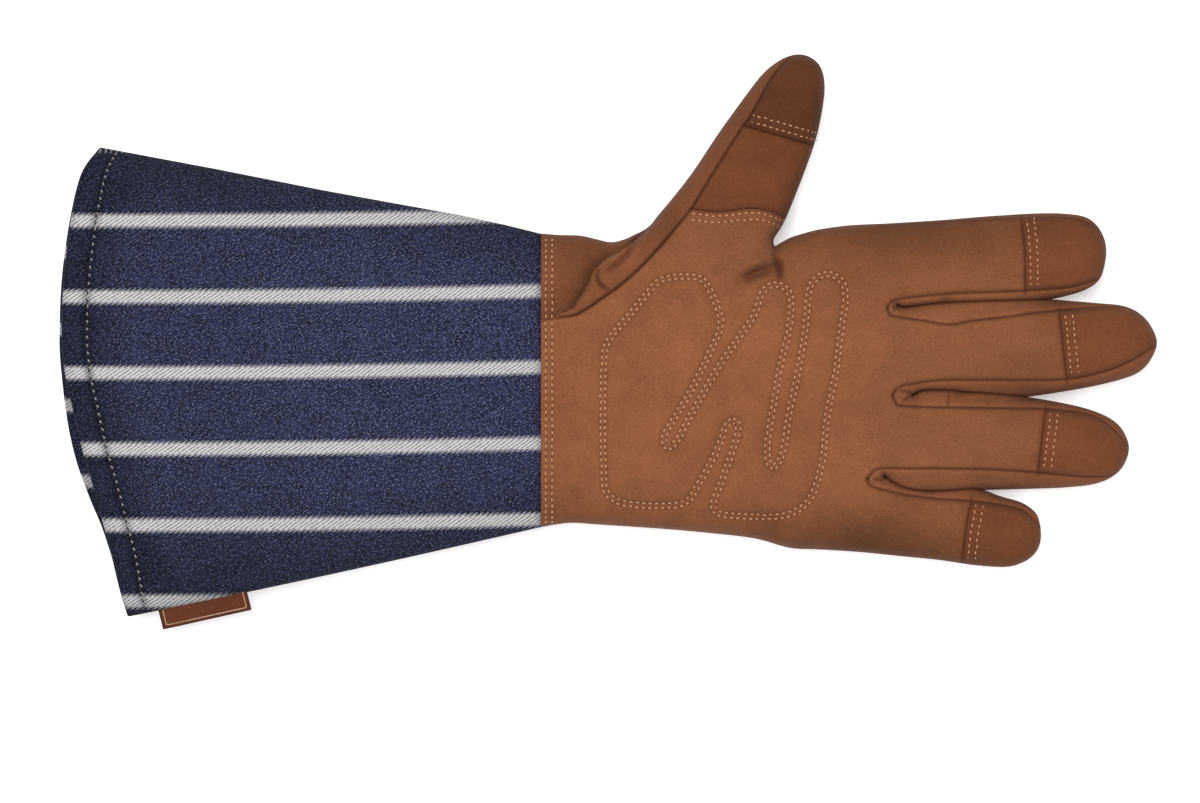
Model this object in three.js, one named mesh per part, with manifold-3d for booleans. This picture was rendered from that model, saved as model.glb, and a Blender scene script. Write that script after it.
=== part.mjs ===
// A left-hand rose pruning gauntlet, lying palm up: a leather glove with padded palm
// and fingertip patches, sewn to a flared denim cuff that is open at its mouth.
// Millimetres. +X runs to the fingertips, +Y to the thumb side and +Z up from the surface.
// The origin is the middle of the wrist seam, on the surface that the glove lies on.
import * as THREE from "three";
import { mergeVertices } from "three/addons/utils/BufferGeometryUtils.js";
import Module from "manifold-3d";

const wasm = await Module();
wasm.setup();

// Thicknesses, and the small gap that neighbouring pieces keep
const leather = 1.4;
const patchLeather = 1.3;
const denim = 1.1;
const padding = 1.6;
const gap = 0.3;

// The hand
const wristWidth = 102;
const wristHeight = 22;
const palmLength = 121; // wrist seam to finger crotches
const palmHeight = 25;
const fingerHeight = 18;
const thumbHeight = 19;
const wristBand = 2.8; // leather edge, outside the wrist seam
const fingerGap = 0.6; // between neighbouring fingers at their crotch

// Fingers from the thumb side. Widths and lengths are shares of the middle finger's, splay is the
// angle that a finger leans to +Y, and round (the length of the rounded tip) and patch are shares
// of the finger's own width.
const fingerWidth = 31.2; // the middle finger's
const fingerLength = 91.8; // the middle finger's, from its crotch
const fingerShares = [
  { name: "index", width: 0.93, length: 0.814, splay: 3.07, round: 0.586, patch: 1.014 },
  { name: "middle", width: 1.0, length: 1.0, splay: 1.0, round: 0.93, patch: 1.054 },
  { name: "ring", width: 0.942, length: 0.893, splay: -2.02, round: 0.85, patch: 1.037 },
  { name: "little", width: 0.82, length: 0.562, splay: -6.2, round: 0.547, patch: 1.027 },
];
const fingers = fingerShares.map(({ name, width, length, splay, round, patch }) => ({
  name,
  splay,
  width: width * fingerWidth,
  length: length * fingerLength,
  round: round * width * fingerWidth,
  patch: patch * width * fingerWidth,
}));
const fingersOffset = -3.3; // the four fingers' middle, from the wrist's middle

// The thumb, from the point of its axis level with the palm's edge
const thumb = { name: "thumb", width: 30.4, rootWidth: 49, length: 80, lean: 64.1, round: 28, patch: 29.4 };
const thumbAlong = 0.451; // share of palmLength
const thumbAcross = 0.412; // share of wristWidth
const thumbSunk = 25; // length of the thumb's root inside the palm

// Seams
const sideSeam = 4.5; // finger seams, in from the outline of the finger
const thumbSideSeam = 8; // the same on the thumb's outer side
const seamHeight = 9; // where palm and back meet at the outer edges
const backSeamHeight = 4; // where the side walls between fingers meet the back
const thumbJoin = 14; // along the thumb, where the seam from the wrist meets its side seam
const thumbPanelStart = 19.5; // along the thumb, to the middle of the seam across its base
const thumbPanelSkew = 11.5; // how much further along that seam is at its end by the index finger
const thumbPatchSkew = 5.5; // the same for the edge of the thumb's patch

// The cuff
const cuffLength = 170;
const mouthWidth = 163;
const mouthHeight = 36;
const cuffLap = 7; // length inside the leather
const lapTaper = 0.8; // the lap narrows by this to its end
const hemWidth = 12;
const mouthSag = { thumbSide: 13, littleSide: 22 }; // how far the mouth's corners stand back
const label = { length: 31, width: 6.4, thickness: 1.2, fromMouth: 11, height: 10, sunk: 5 };

// Palm outline and height at stations along the palm. along is a share of palmLength, the two
// sides are shares of wristWidth out to the thumb side and the little finger's, height of palmHeight.
const palmSections = [
  { along: 0.22, thumbSide: 0.48, littleSide: 0.5, height: 0.94 },
  { along: 0.45, thumbSide: 0.46, littleSide: 0.515, height: 1.0 },
  { along: 0.62, thumbSide: 0.455, littleSide: 0.535, height: 0.98 },
  { along: 0.74, thumbSide: 0.49, littleSide: 0.575, height: 0.92 },
];
// The seam from the wrist to the thumb's outer side: along of palmLength, across of wristWidth
const thumbSeam = [
  { along: 0.014, across: 0.209 },
  { along: 0.064, across: 0.22 },
  { along: 0.15, across: 0.278 },
  { along: 0.269, across: 0.391 },
  { along: 0.345, across: 0.494 },
];
// Outline of the quilted pad: along of palmLength, across of wristWidth
const padOutline = [
  { along: 0.15, across: -0.34 },
  { along: 0.156, across: -0.07 },
  { along: 0.182, across: 0.15 },
  { along: 0.235, across: 0.24 },
  { along: 0.295, across: 0.31 },
  { along: 0.34, across: 0.352 },
  { along: 0.44, across: 0.354 },
  { along: 0.496, across: 0.175 },
  { along: 0.552, across: 0.17 },
  { along: 0.602, across: 0.285 },
  { along: 0.63, across: 0.322 },
  { along: 0.665, across: 0.332 },
  { along: 0.7, across: 0.305 },
  { along: 0.709, across: 0.25 },
  { along: 0.752, across: 0.3 },
  { along: 0.772, across: 0.352 },
  { along: 0.81, across: 0.374 },
  { along: 0.848, across: 0.354 },
  { along: 0.868, across: 0.29 },
  { along: 0.84, across: 0.0 },
  { along: 0.8, across: -0.23 },
  { along: 0.774, across: -0.363 },
  { along: 0.74, across: -0.432 },
  { along: 0.69, across: -0.468 },
  { along: 0.505, across: -0.468 },
  { along: 0.42, across: -0.434 },
  { along: 0.33, across: -0.426 },
  { along: 0.3, across: -0.438 },
  { along: 0.18, across: -0.42 },
];
// Unpadded channels between the pad's lobes, from a mouth at its edge to an end inside
const channelWidth = 3.6;
const padChannels = [
  { along: 0.526, across: 0.2, endAlong: 0.288, endAcross: -0.21 },
  { along: 0.728, across: 0.3, endAlong: 0.534, endAcross: -0.285 },
  { along: 0.37, across: -0.47, endAlong: 0.445, endAcross: -0.13 },
];
// The cuff between wrist and mouth: each value's share of the way from the wrist's to the mouth's
const cuffSections = [
  { along: 0.82, width: 0.82, height: 0.88 },
  { along: 0.62, width: 0.615, height: 0.7 },
  { along: 0.42, width: 0.41, height: 0.5 },
  { along: 0.22, width: 0.215, height: 0.28 },
  { along: 0.06, width: 0.05, height: 0.1 },
];

// Facets
const digitSides = 16;
const palmSides = 32;
const cuffSides = 40;
const tipAngles = [0, 28, 50, 67, 80, 88];

const wristInset = leather + gap; // the cuff's lap fits inside the leather by this
const overrun = 6; // cutters and hollows run past what they open by this much
const tall = 2 * Math.max(palmHeight, mouthHeight); // over everything

// three.js geometry as a solid that can be joined and cut
function solidOf(geometry) {
  const bare = new THREE.BufferGeometry().setAttribute("position", geometry.getAttribute("position"));
  bare.setIndex(geometry.getIndex());
  const merged = mergeVertices(bare, 1e-4);
  return new wasm.Manifold(
    new wasm.Mesh({
      numProp: 3,
      vertProperties: new Float32Array(merged.attributes.position.array),
      triVerts: new Uint32Array(merged.index.array),
    }),
  );
}

// A named mesh of a solid, in the colour of its material
function meshOf(name, solid, material) {
  const { vertProperties, triVerts } = solid.getMesh();
  const geometry = new THREE.BufferGeometry();
  geometry.setAttribute("position", new THREE.BufferAttribute(vertProperties, 3));
  geometry.setIndex(new THREE.BufferAttribute(triVerts, 1));
  geometry.computeVertexNormals();
  const mesh = new THREE.Mesh(geometry, material);
  mesh.name = name;
  return mesh;
}

const joined = (solids) => solids.reduce((all, one) => all.add(one));

// Walls between rings of as many points each. The first and last ring are closed by a fan
// round their middle, or, for a ring-shaped section, the rings return to the first.
function skin(rings, returns) {
  const sides = rings[0].length;
  const points = rings.flat();
  const faces = [];
  const bands = returns ? rings.length : rings.length - 1;
  for (let r = 0; r < bands; r++) {
    const next = (r + 1) % rings.length;
    for (let k = 0; k < sides; k++) {
      const beside = (k + 1) % sides;
      const a = r * sides + k;
      const b = r * sides + beside;
      const c = next * sides + beside;
      const d = next * sides + k;
      faces.push(a, b, c, a, c, d);
    }
  }
  if (!returns) {
    const close = (first, forward) => {
      const ring = points.slice(first, first + sides);
      const middle = ring.reduce((sum, p) => sum.add(p), new THREE.Vector3()).divideScalar(sides);
      points.push(middle);
      for (let k = 0; k < sides; k++) {
        const a = first + k;
        const b = first + ((k + 1) % sides);
        faces.push(points.length - 1, ...(forward ? [b, a] : [a, b]));
      }
    };
    close(0, true);
    close((rings.length - 1) * sides, false);
  }
  const geometry = new THREE.BufferGeometry().setFromPoints(points);
  geometry.setIndex(faces);
  return solidOf(geometry);
}

// One cross-section: a rounded oblong, widest at the girth and flattened where it rests.
// left and right are half widths on either side of centre, and across points left.
const girth = 0.42; // height of the widest point, as a share of the section's
const sag = 3; // how far the round underside would hang below the surface if it weren't flattened
function section({ centre, across, left, right, top, squareness, low = 0, sides }, inset) {
  const middle = girth * top;
  const power = 2 / squareness;
  return Array.from({ length: sides }, (_, k) => {
    const turn = (2 * Math.PI * k) / sides;
    const c = Math.cos(turn);
    const s = Math.sin(turn);
    const reach = (c > 0 ? left : right) - inset;
    const aside = Math.sign(c) * reach * Math.abs(c) ** power;
    const rise = Math.abs(s) ** power;
    const z =
      s > 0 ? middle + (top - inset - middle) * rise : Math.max(low + inset, middle - (middle + sag) * rise);
    return new THREE.Vector3(centre.x + across.x * aside, centre.y + across.y * aside, z);
  });
}

// A finger or thumb as {root, axis, across, length, widths, height}, with its frame in plan
function digitOf(spec, root, axis, rootWidth, sunk, height, rootHeight) {
  const across = new THREE.Vector2(-axis.y, axis.x);
  return { ...spec, root, axis, across, rootWidth, sunk, height, rootHeight };
}

// Half width of a digit at a distance from its root, before its tip rounds off
function halfWidth(digit, along) {
  const share = THREE.MathUtils.clamp(along / (digit.length - digit.round), 0, 1);
  return THREE.MathUtils.lerp(digit.rootWidth, digit.width, share) / 2;
}

// A point in plan, along a digit's axis and to its left
const placed = (digit, along, left) =>
  digit.root.clone().addScaledVector(digit.axis, along).addScaledVector(digit.across, left);

// A digit as a solid, drawn in on every side by inset
function digitSolid(digit, inset) {
  const straight = digit.length - digit.round;
  const rings = [-digit.sunk, 0, straight / 2].map((along) => {
    const half = halfWidth(digit, along);
    const share = THREE.MathUtils.clamp(along / straight, 0, 1);
    const top = THREE.MathUtils.lerp(digit.rootHeight, digit.height, share);
    const centre = placed(digit, along, 0);
    return section({ centre, ...sidesOf(digit, half), top }, inset);
  });
  for (const degrees of tipAngles) {
    const turn = THREE.MathUtils.degToRad(degrees);
    const along = straight + (digit.round - inset) * Math.sin(turn);
    const half = inset + (digit.width / 2 - inset) * Math.cos(turn);
    const shrink = Math.cos(turn) ** 0.6;
    const middle = girth * digit.height;
    const ring = section({ centre: placed(digit, along, 0), ...sidesOf(digit, half), top: digit.height }, inset);
    rings.push(ring.map((p) => p.setZ(middle + (p.z - middle) * shrink)));
  }
  return skin(rings, false);
}

const sidesOf = (digit, half) => ({
  across: digit.across,
  left: half,
  right: half,
  squareness: 2.5,
  sides: digitSides,
});

// A place on the palm, from shares of its length and of the wrist's width
const onPalm = ({ along, across }) => new THREE.Vector2(along * palmLength, across * wristWidth);

// Finger roots lie side by side at the end of the palm
const knuckleWidth = fingers.reduce((sum, finger) => sum + finger.width, 0) + fingerGap * (fingers.length - 1);
const fingerSunk = 0.2 * palmLength;
const knuckleEdge = fingersOffset + knuckleWidth / 2;
const digits = fingers.map((finger, place) => {
  const before = fingers.slice(0, place).reduce((sum, other) => sum + other.width + fingerGap, 0);
  const root = new THREE.Vector2(palmLength, knuckleEdge - before - finger.width / 2);
  const splay = THREE.MathUtils.degToRad(finger.splay);
  const axis = new THREE.Vector2(Math.cos(splay), Math.sin(splay));
  return digitOf(finger, root, axis, finger.width, fingerSunk, fingerHeight, fingerHeight);
});
const thumbRoot = onPalm({ along: thumbAlong, across: thumbAcross });
const lean = THREE.MathUtils.degToRad(thumb.lean);
const thumbAxis = new THREE.Vector2(Math.cos(lean), Math.sin(lean));
const thumbDigit = digitOf(thumb, thumbRoot, thumbAxis, thumb.rootWidth, thumbSunk, thumbHeight, thumbHeight);

// The palm as a solid. open runs its wrist end on, to make the hollow's way in.
function palmSolid(inset, open) {
  const across = new THREE.Vector2(0, 1);
  const ringAt = (x, left, right, top) =>
    section({ centre: new THREE.Vector2(x, 0), across, left, right, top, squareness: 3, sides: palmSides }, inset);
  const wristHalf = wristWidth / 2;
  const ends = open ? [-wristBand - overrun, -wristBand] : [-wristBand];
  const rings = ends.map((x) => ringAt(x, wristHalf, wristHalf, wristHeight));
  for (const { along, thumbSide, littleSide, height } of palmSections) {
    rings.push(ringAt(along * palmLength, thumbSide * wristWidth, littleSide * wristWidth, height * palmHeight));
  }
  const little = knuckleWidth - knuckleEdge;
  rings.push(ringAt(palmLength - 2 * leather - inset, knuckleEdge, little, fingerHeight));
  const end = ringAt(palmLength - inset, knuckleEdge - leather, little - leather, fingerHeight);
  rings.push(end.map((p) => p.setZ(girth * fingerHeight + (p.z - girth * fingerHeight) * 0.9)));
  return skin(rings, false);
}

const handSolid = (inset, open = false) =>
  joined([palmSolid(inset, open), ...digits.concat(thumbDigit).map((digit) => digitSolid(digit, inset))]);

// An outline moved out by a distance all round
function grown(outline, by) {
  const turn = Math.sign(THREE.ShapeUtils.area(outline));
  return outline.map((point, k) => {
    const before = outline.at(k - 1);
    const after = outline[(k + 1) % outline.length];
    const into = point.clone().sub(before).normalize();
    const outof = after.clone().sub(point).normalize();
    const normal = new THREE.Vector2(into.y + outof.y, -into.x - outof.x).normalize();
    const spread = normal.dot(new THREE.Vector2(outof.y, -outof.x));
    return point.clone().addScaledVector(normal, (turn * by) / Math.max(spread, 0.5));
  });
}

// An upright cutter over an outline in plan
function cutter(outline, low, by = 0) {
  const geometry = new THREE.ExtrudeGeometry(new THREE.Shape(grown(outline, by)), {
    depth: tall - low + by,
    bevelEnabled: false,
  });
  geometry.translate(0, 0, low - by);
  return solidOf(geometry);
}
const cutters = (zones, low, by) => joined(zones.map((zone) => cutter(zone, low, by)));

// The strip between a digit's seams, past its tip. A digit at the hand's edge has its seam
// round the side, so the strip runs past that side.
function strip(digit, from, leftSeam, rightSeam, fromSkew = 0) {
  const end = Math.max(digit.length - digit.round, from + Math.abs(fromSkew));
  const left = (along) => halfWidth(digit, along) - leftSeam;
  const right = (along) => rightSeam - halfWidth(digit, along);
  return [
    placed(digit, from + fromSkew / 2, right(from)),
    placed(digit, end, right(end)),
    placed(digit, digit.length + overrun, right(end)),
    placed(digit, digit.length + overrun, left(end)),
    placed(digit, end, left(end)),
    placed(digit, from - fromSkew / 2, left(from)),
  ];
}
const pastSide = -overrun / 2;
const seamsOf = (place) => [
  place === 0 ? pastSide : sideSeam,
  place === fingers.length - 1 ? pastSide : sideSeam,
];

// Zones in plan that the hand's leather is cut by
const crotchSeam = palmLength - 3 * leather; // the palm panel's edge between two fingers
const seamPoints = thumbSeam.map(onPalm);
const beyond = wristWidth; // clear of the hand's outer edges
const palmZone = [
  new THREE.Vector2(-wristBand - overrun, seamPoints[0].y),
  ...seamPoints,
  placed(thumbDigit, thumbJoin, halfWidth(thumbDigit, thumbJoin) - thumbSideSeam),
  placed(thumbDigit, thumbJoin, -thumb.width),
  new THREE.Vector2(crotchSeam, knuckleEdge + overrun),
  new THREE.Vector2(crotchSeam, -beyond),
  new THREE.Vector2(-wristBand - overrun, -beyond),
];
const thumbSeams = [thumbSideSeam, pastSide];
const panelZones = [
  palmZone,
  strip(thumbDigit, thumbJoin - leather, ...thumbSeams),
  ...digits.map((digit, place) => strip(digit, -4 * leather, ...seamsOf(place))),
];
const thumbPanelZone = strip(thumbDigit, thumbPanelStart, pastSide, pastSide, thumbPanelSkew);
const thumbBackZone = [
  seamPoints[1].clone().setX(seamPoints[1].x - leather),
  placed(thumbDigit, -overrun, thumb.rootWidth / 2 + overrun),
  placed(thumbDigit, thumb.length + overrun, thumb.width),
  placed(thumbDigit, thumb.length + overrun, -thumb.width),
  placed(thumbDigit, thumbPanelStart, -thumb.width),
  placed(thumbDigit, thumbPanelStart / 2, (-0.43) * thumb.rootWidth),
  placed(thumbDigit, -overrun, 0),
];
// Between two fingers, from one's middle to the next one's, closed at their crotch
const sideZones = digits.slice(1).map((after, place) => {
  const before = digits[place];
  const halfGap = (2 * gap) / 3;
  return [
    placed(before, -5 * leather, 0),
    placed(before, before.length + overrun, -halfGap),
    placed(after, after.length + overrun, halfGap),
    placed(after, -5 * leather, 0),
  ];
});

const palmLeather = new THREE.MeshStandardMaterial({ color: 0x935c3b, roughness: 0.92, metalness: 0 });
const sideLeather = new THREE.MeshStandardMaterial({ color: 0x8a5535, roughness: 0.92, metalness: 0 });
const tipLeather = new THREE.MeshStandardMaterial({ color: 0x7c4a2e, roughness: 0.92, metalness: 0 });
const cuffDenim = new THREE.MeshStandardMaterial({ color: 0x333a55, roughness: 0.95, metalness: 0 });
const tabLeather = new THREE.MeshStandardMaterial({ color: 0x5b2e1a, roughness: 0.7, metalness: 0 });

const glove = new THREE.Group();

// The hand's leather, cut along its seams
function addHand() {
  const hand = handSolid(0);
  const shell = hand.subtract(handSolid(leather, true));
  const front = shell.intersect(cutters(panelZones, seamHeight, 0));
  const rest = shell.subtract(cutters(panelZones, seamHeight, gap));
  glove.add(meshOf("palm_panel", front.subtract(cutter(thumbPanelZone, 0, gap)), palmLeather));
  glove.add(meshOf("thumb_front", front.intersect(cutter(thumbPanelZone, 0)), tipLeather));
  glove.add(meshOf("thumb_back", rest.intersect(cutter(thumbBackZone, -overrun)), sideLeather));
  sideZones.forEach((zone, place) => {
    const name = `fourchette_${fingers[place].name}_${fingers[place + 1].name}`;
    glove.add(meshOf(name, rest.intersect(cutter(zone, backSeamHeight)), sideLeather));
  });
  const back = rest
    .subtract(cutter(thumbBackZone, -overrun, gap))
    .subtract(cutters(sideZones, backSeamHeight, gap));
  glove.add(meshOf("back_panel", back, palmLeather));
}

// What lies on the hand's leather: its underside follows the leather, a gap above it
function laidOn(over, under, outline, low) {
  return over.intersect(cutter(outline, low)).subtract(under);
}

function addPatches() {
  const under = handSolid(-gap);
  const layer = -gap - patchLeather;
  const patched = [...digits.map((digit, place) => [digit, ...seamsOf(place), 0])];
  patched.push([thumbDigit, ...thumbSeams, thumbPatchSkew]);
  for (const [digit, leftSeam, rightSeam, skew] of patched) {
    const outline = strip(digit, digit.length - digit.patch, leftSeam + gap, rightSeam + gap, skew);
    const patch = laidOn(digitSolid(digit, layer), under, outline, seamHeight + gap);
    glove.add(meshOf(`tip_patch_${digit.name}`, patch, tipLeather));
  }
}

function addPalmPad() {
  const under = handSolid(-gap);
  const whole = laidOn(palmSolid(-gap - padding, false), under, padOutline.map(onPalm), palmHeight / 2);
  const channels = padChannels.map(({ along, across, endAlong, endAcross }) => {
    const mouth = onPalm({ along, across });
    const end = onPalm({ along: endAlong, across: endAcross });
    const way = end.clone().sub(mouth).normalize();
    const aside = new THREE.Vector2(-way.y, way.x).multiplyScalar(channelWidth / 2);
    mouth.addScaledVector(way, -channelWidth);
    return [mouth.clone().add(aside), mouth.clone().sub(aside), end.clone().sub(aside), end.clone().add(aside)];
  });
  glove.add(meshOf("palm_pad", whole.subtract(cutters(channels, 0, 0)), palmLeather));
}

// A ring of the cuff at a share of its length, drawn in by inset. The mouth's corners stand back.
function cuffRing(along, width, height, inset) {
  const half = (wristWidth + (mouthWidth - wristWidth) * width) / 2 - (along > 0 ? 0 : wristInset);
  const top = wristHeight + (mouthHeight - wristHeight) * height - (along > 0 ? 0 : wristInset);
  const centre = new THREE.Vector2(0, 0);
  const across = new THREE.Vector2(0, 1);
  const low = along > 0 ? 0 : wristInset;
  const ring = section(
    { centre, across, left: half, right: half, top, low, squareness: 2.7, sides: cuffSides },
    inset,
  );
  return ring.map((p) => {
    const corner = p.y > 0 ? mouthSag.thumbSide : mouthSag.littleSide;
    const back = corner * Math.abs((2 * p.y) / mouthWidth) ** 2;
    return p.setX(-along * (cuffLength - back));
  });
}

// The lap inside the leather, as a ring at a given place along +X
const lapRing = (x, inset) => cuffRing(0, 0, 0, inset).map((p) => p.setX(x));

// A tube with walls from one inset to another
function sleeve(ringsAt, outer, inner) {
  return skin([...ringsAt(outer), ...ringsAt(inner).reverse()], true);
}

const flareStart = wristBand + gap;
const cuffRings = (inset) => [
  cuffRing(1, 1, 1, inset),
  ...cuffSections.map(({ along, width, height }) => cuffRing(along, width, height, inset)),
  lapRing(-flareStart, inset),
  lapRing(cuffLap - wristBand, inset + lapTaper),
];

function addCuff() {
  glove.add(meshOf("cuff", sleeve(cuffRings, 0, denim), cuffDenim));
  const hemStart = 1 - hemWidth / cuffLength;
  const hemRings = (inset) => [cuffRing(1, 1, 1, inset), cuffRing(hemStart, hemStart, hemStart, inset)];
  glove.add(meshOf("cuff_hem", sleeve(hemRings, denim + gap, 2 * denim + gap), cuffDenim));
}

// The tab sewn into the cuff's side seam, which follows the slope of the cuff's edge
function addLabel() {
  const mouthCorner = new THREE.Vector2(mouthSag.littleSide - cuffLength, -mouthWidth / 2);
  const wristCorner = new THREE.Vector2(0, -wristWidth / 2);
  const way = wristCorner.clone().sub(mouthCorner).normalize();
  const out = new THREE.Vector2(way.y, -way.x);
  const at = (along, aside) => mouthCorner.clone().addScaledVector(way, along).addScaledVector(out, aside);
  const last = label.fromMouth + label.length;
  const outline = [
    at(label.fromMouth, -label.sunk),
    at(label.fromMouth, label.width),
    at(last, label.width),
    at(last, -label.sunk),
  ];
  const tab = new THREE.ExtrudeGeometry(new THREE.Shape(outline), { depth: label.thickness, bevelEnabled: false });
  tab.translate(0, 0, label.height);
  const cuffBody = skin(cuffRings(-gap), false);
  glove.add(meshOf("label_tab", solidOf(tab).subtract(cuffBody), tabLeather));
}

addHand();
addPatches();
addPalmPad();
addCuff();
addLabel();

export default glove;
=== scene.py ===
# Looks of the left-hand rose pruning gauntlet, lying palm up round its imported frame.
# Plan outlines and seams are in millimetres from the middle of the wrist seam: x to the
# fingertips, y to the thumb side, z up from the floor. Meshes are made in metres.
import math
import bpy
import numpy as np
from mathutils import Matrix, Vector
from mathutils.geometry import delaunay_2d_cdt


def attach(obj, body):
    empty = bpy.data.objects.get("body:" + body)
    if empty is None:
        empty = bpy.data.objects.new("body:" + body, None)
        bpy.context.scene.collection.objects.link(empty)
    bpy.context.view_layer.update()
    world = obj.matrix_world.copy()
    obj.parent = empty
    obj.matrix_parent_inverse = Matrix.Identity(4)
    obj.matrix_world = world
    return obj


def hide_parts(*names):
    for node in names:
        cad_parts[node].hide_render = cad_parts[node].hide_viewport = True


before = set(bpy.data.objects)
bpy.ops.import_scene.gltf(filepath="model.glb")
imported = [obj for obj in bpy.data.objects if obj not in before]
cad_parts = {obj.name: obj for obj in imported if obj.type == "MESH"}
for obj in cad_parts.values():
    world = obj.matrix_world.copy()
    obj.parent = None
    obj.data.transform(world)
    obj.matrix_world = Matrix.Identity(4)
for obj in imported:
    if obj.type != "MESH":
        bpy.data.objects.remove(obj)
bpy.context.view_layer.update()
MM = 0.001

# The hand's outline from the wrist, round the thumb and the fingers, back to the wrist
THUMB_OUTLINE = [
    (-2.8, 51.3), (3.8, 50.8), (10.8, 50.6), (16.8, 49.3), (21.3, 48.3), (25.5, 49.0),
    (29.7, 50.8), (34.6, 53.5), (38.8, 58.4), (49.3, 71.5), (59.8, 87.1), (70.3, 101.6),
    (74.9, 107.3), (79.1, 110.9), (83.6, 113.3), (88.2, 114.0), (92.2, 112.6), (95.1, 109.5),
    (96.4, 104.3), (96.0, 96.9), (93.4, 84.3), (87.8, 68.6), (82.4, 55.5), (78.7, 49.4), (79.0, 46.8),
]
INDEX_OUTLINE = [
    (79.0, 46.8), (80.2, 47.5), (84.3, 49.8), (88.9, 51.3), (94.8, 52.8), (105.3, 54.2), (119.3, 54.9),
    (136.8, 56.0), (154.3, 57.4), (171.8, 58.4), (182.3, 58.1), (188.6, 56.7), (192.8, 52.8),
    (194.9, 47.2), (194.6, 40.9), (192.5, 35.0), (187.6, 31.5), (180.9, 29.4), (176.0, 28.3),
]
MIDDLE_OUTLINE = [
    (176.0, 28.3), (184.1, 27.6), (192.8, 26.9), (200.5, 26.1), (206.1, 23.8), (210.3, 19.6),
    (212.8, 13.3), (210.7, 7.3), (206.8, 3.0), (200.5, 0.3), (189.3, -2.4), (177.1, -4.5),
    (167.6, -5.9),
]
RING_OUTLINE = [
    (167.6, -5.9), (177.1, -7.5), (187.6, -9.8), (195.6, -12.9), (200.5, -17.0),
    (203.0, -23.4), (201.2, -29.7), (197.0, -33.9), (190.8, -36.4), (180.6, -37.6),
    (168.3, -38.1), (152.6, -38.5),
]
LITTLE_OUTLINE = [
    (152.6, -38.5), (157.9, -40.6), (165.3, -42.8), (170.0, -46.0), (171.7, -49.6),
    (172.2, -54.7), (171.3, -58.7), (169.0, -61.8), (165.4, -64.0), (159.8, -65.4), (149.1, -64.8),
    (136.8, -63.0), (122.8, -61.6), (108.8, -60.2), (94.8, -59.3), (86.1, -59.0), (80.1, -57.7),
    (75.6, -56.3), (68.6, -54.9), (52.8, -53.2), (38.8, -52.0), (17.8, -50.6), (7.3, -50.0),
    (-2.8, -51.4),
]
# Where neighbouring fingers touch, from their tips to their crotch
SLIT_INDEX_MIDDLE = [(176.0, 28.3), (161.4, 27.9), (138.4, 27.1), (125.0, 25.5), (121.8, 26.2)]
SLIT_MIDDLE_RING = [
    (167.6, -5.9), (161.4, -5.3), (151.3, -4.5), (144.6, -4.1), (140.1, -3.6), (131.2, -3.6),
    (127.3, -5.3),
]
SLIT_RING_LITTLE = [
    (152.6, -38.5), (147.9, -38.0), (140.7, -38.5), (132.3, -38.8), (124.5, -37.7),
    (120.0, -35.5), (117.2, -33.5),
]
# Seams on the palm's side
THUMB_SEAM = [
    (-2.8, 21.3), (7.7, 22.4), (11.9, 24.1), (18.2, 28.3), (25.5, 33.6), (32.5, 39.9),
    (39.9, 47.9), (47.2, 56.7), (50.8, 61.6), (59.1, 75.2), (67.5, 88.2), (70.7, 92.8),
    (77.3, 104.6), (82.2, 110.9), (86.8, 114.1),
]
ROLL_EDGE = [
    (43.0, 63.0), (33.6, 52.0), (26.4, 45.7), (19.9, 42.0), (15.8, 38.2), (13.9, 33.6),
    (10.4, 27.9), (7.8, 24.9), (2.5, 22.4),
]
# Finger seams run from a small loop round each crotch, out along both sides of the gap
SEAM_INDEX = [
    (118.4, 25.1), (119.4, 27.0), (122.3, 28.2), (131.2, 29.3), (142.3, 30.3), (161.4, 31.0),
    (182.3, 32.4), (192.1, 35.3),
]
SEAM_MIDDLE_UPPER = [
    (118.4, 25.1), (119.2, 23.1), (120.9, 22.3), (131.2, 20.8), (140.1, 19.4), (147.9, 20.7),
    (161.4, 22.3), (175.0, 24.1), (192.8, 25.5), (203.3, 25.2),
]
SEAM_MIDDLE_LOWER = [
    (120.3, -5.3), (121.4, -3.4), (123.9, -2.0), (127.3, -1.4), (134.0, -0.4), (141.0, 0.0),
    (161.4, 0.0), (181.6, 0.3), (194.6, 3.1), (204.0, 7.0), (212.4, 12.2),
]
SEAM_RING_UPPER = [
    (120.3, -5.3), (121.4, -7.6), (123.4, -9.0), (139.5, -9.6), (161.4, -9.9), (173.9, -10.1),
    (188.6, -11.9), (196.3, -16.1), (202.6, -23.1),
]
SEAM_RING_LOWER = [
    (111.4, -34.6), (113.0, -32.7), (116.1, -31.1), (127.8, -31.0), (139.5, -31.0),
    (161.4, -31.6), (189.7, -33.9), (200.2, -32.2),
]
SEAM_LITTLE = [
    (111.4, -34.6), (112.2, -36.6), (114.4, -37.7), (120.0, -39.1), (127.8, -40.5),
    (136.7, -41.6), (147.4, -42.3), (159.2, -43.8), (166.9, -46.2), (172.5, -52.5),
]
INDEX_TOP_SEAM = [
    (115.8, 53.7), (133.3, 54.6), (147.3, 55.6), (168.3, 56.5), (184.1, 56.3), (193.5, 51.8),
]
# Edges of the fingertip patches and of the panel that ends at the thumb's base
PATCH_INDEX = [(164.9, 58.8), (166.5, 45.5), (166.7, 30.4)]
PATCH_MIDDLE = [(178.5, 25.2), (179.9, 12.2), (181.3, -0.7)]
PATCH_RING = [(173.9, -9.4), (172.5, -21.0), (171.1, -32.9)]
PATCH_LITTLE = [(148.0, -41.3), (145.9, -52.5), (144.5, -64.8)]
PATCH_THUMB = [(67.5, 89.2), (80.1, 85.8), (94.8, 81.5)]
THUMB_BASE = [(49.3, 59.8), (59.5, 58.8), (70.7, 60.0), (78.0, 58.8), (84.3, 55.8)]
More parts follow.
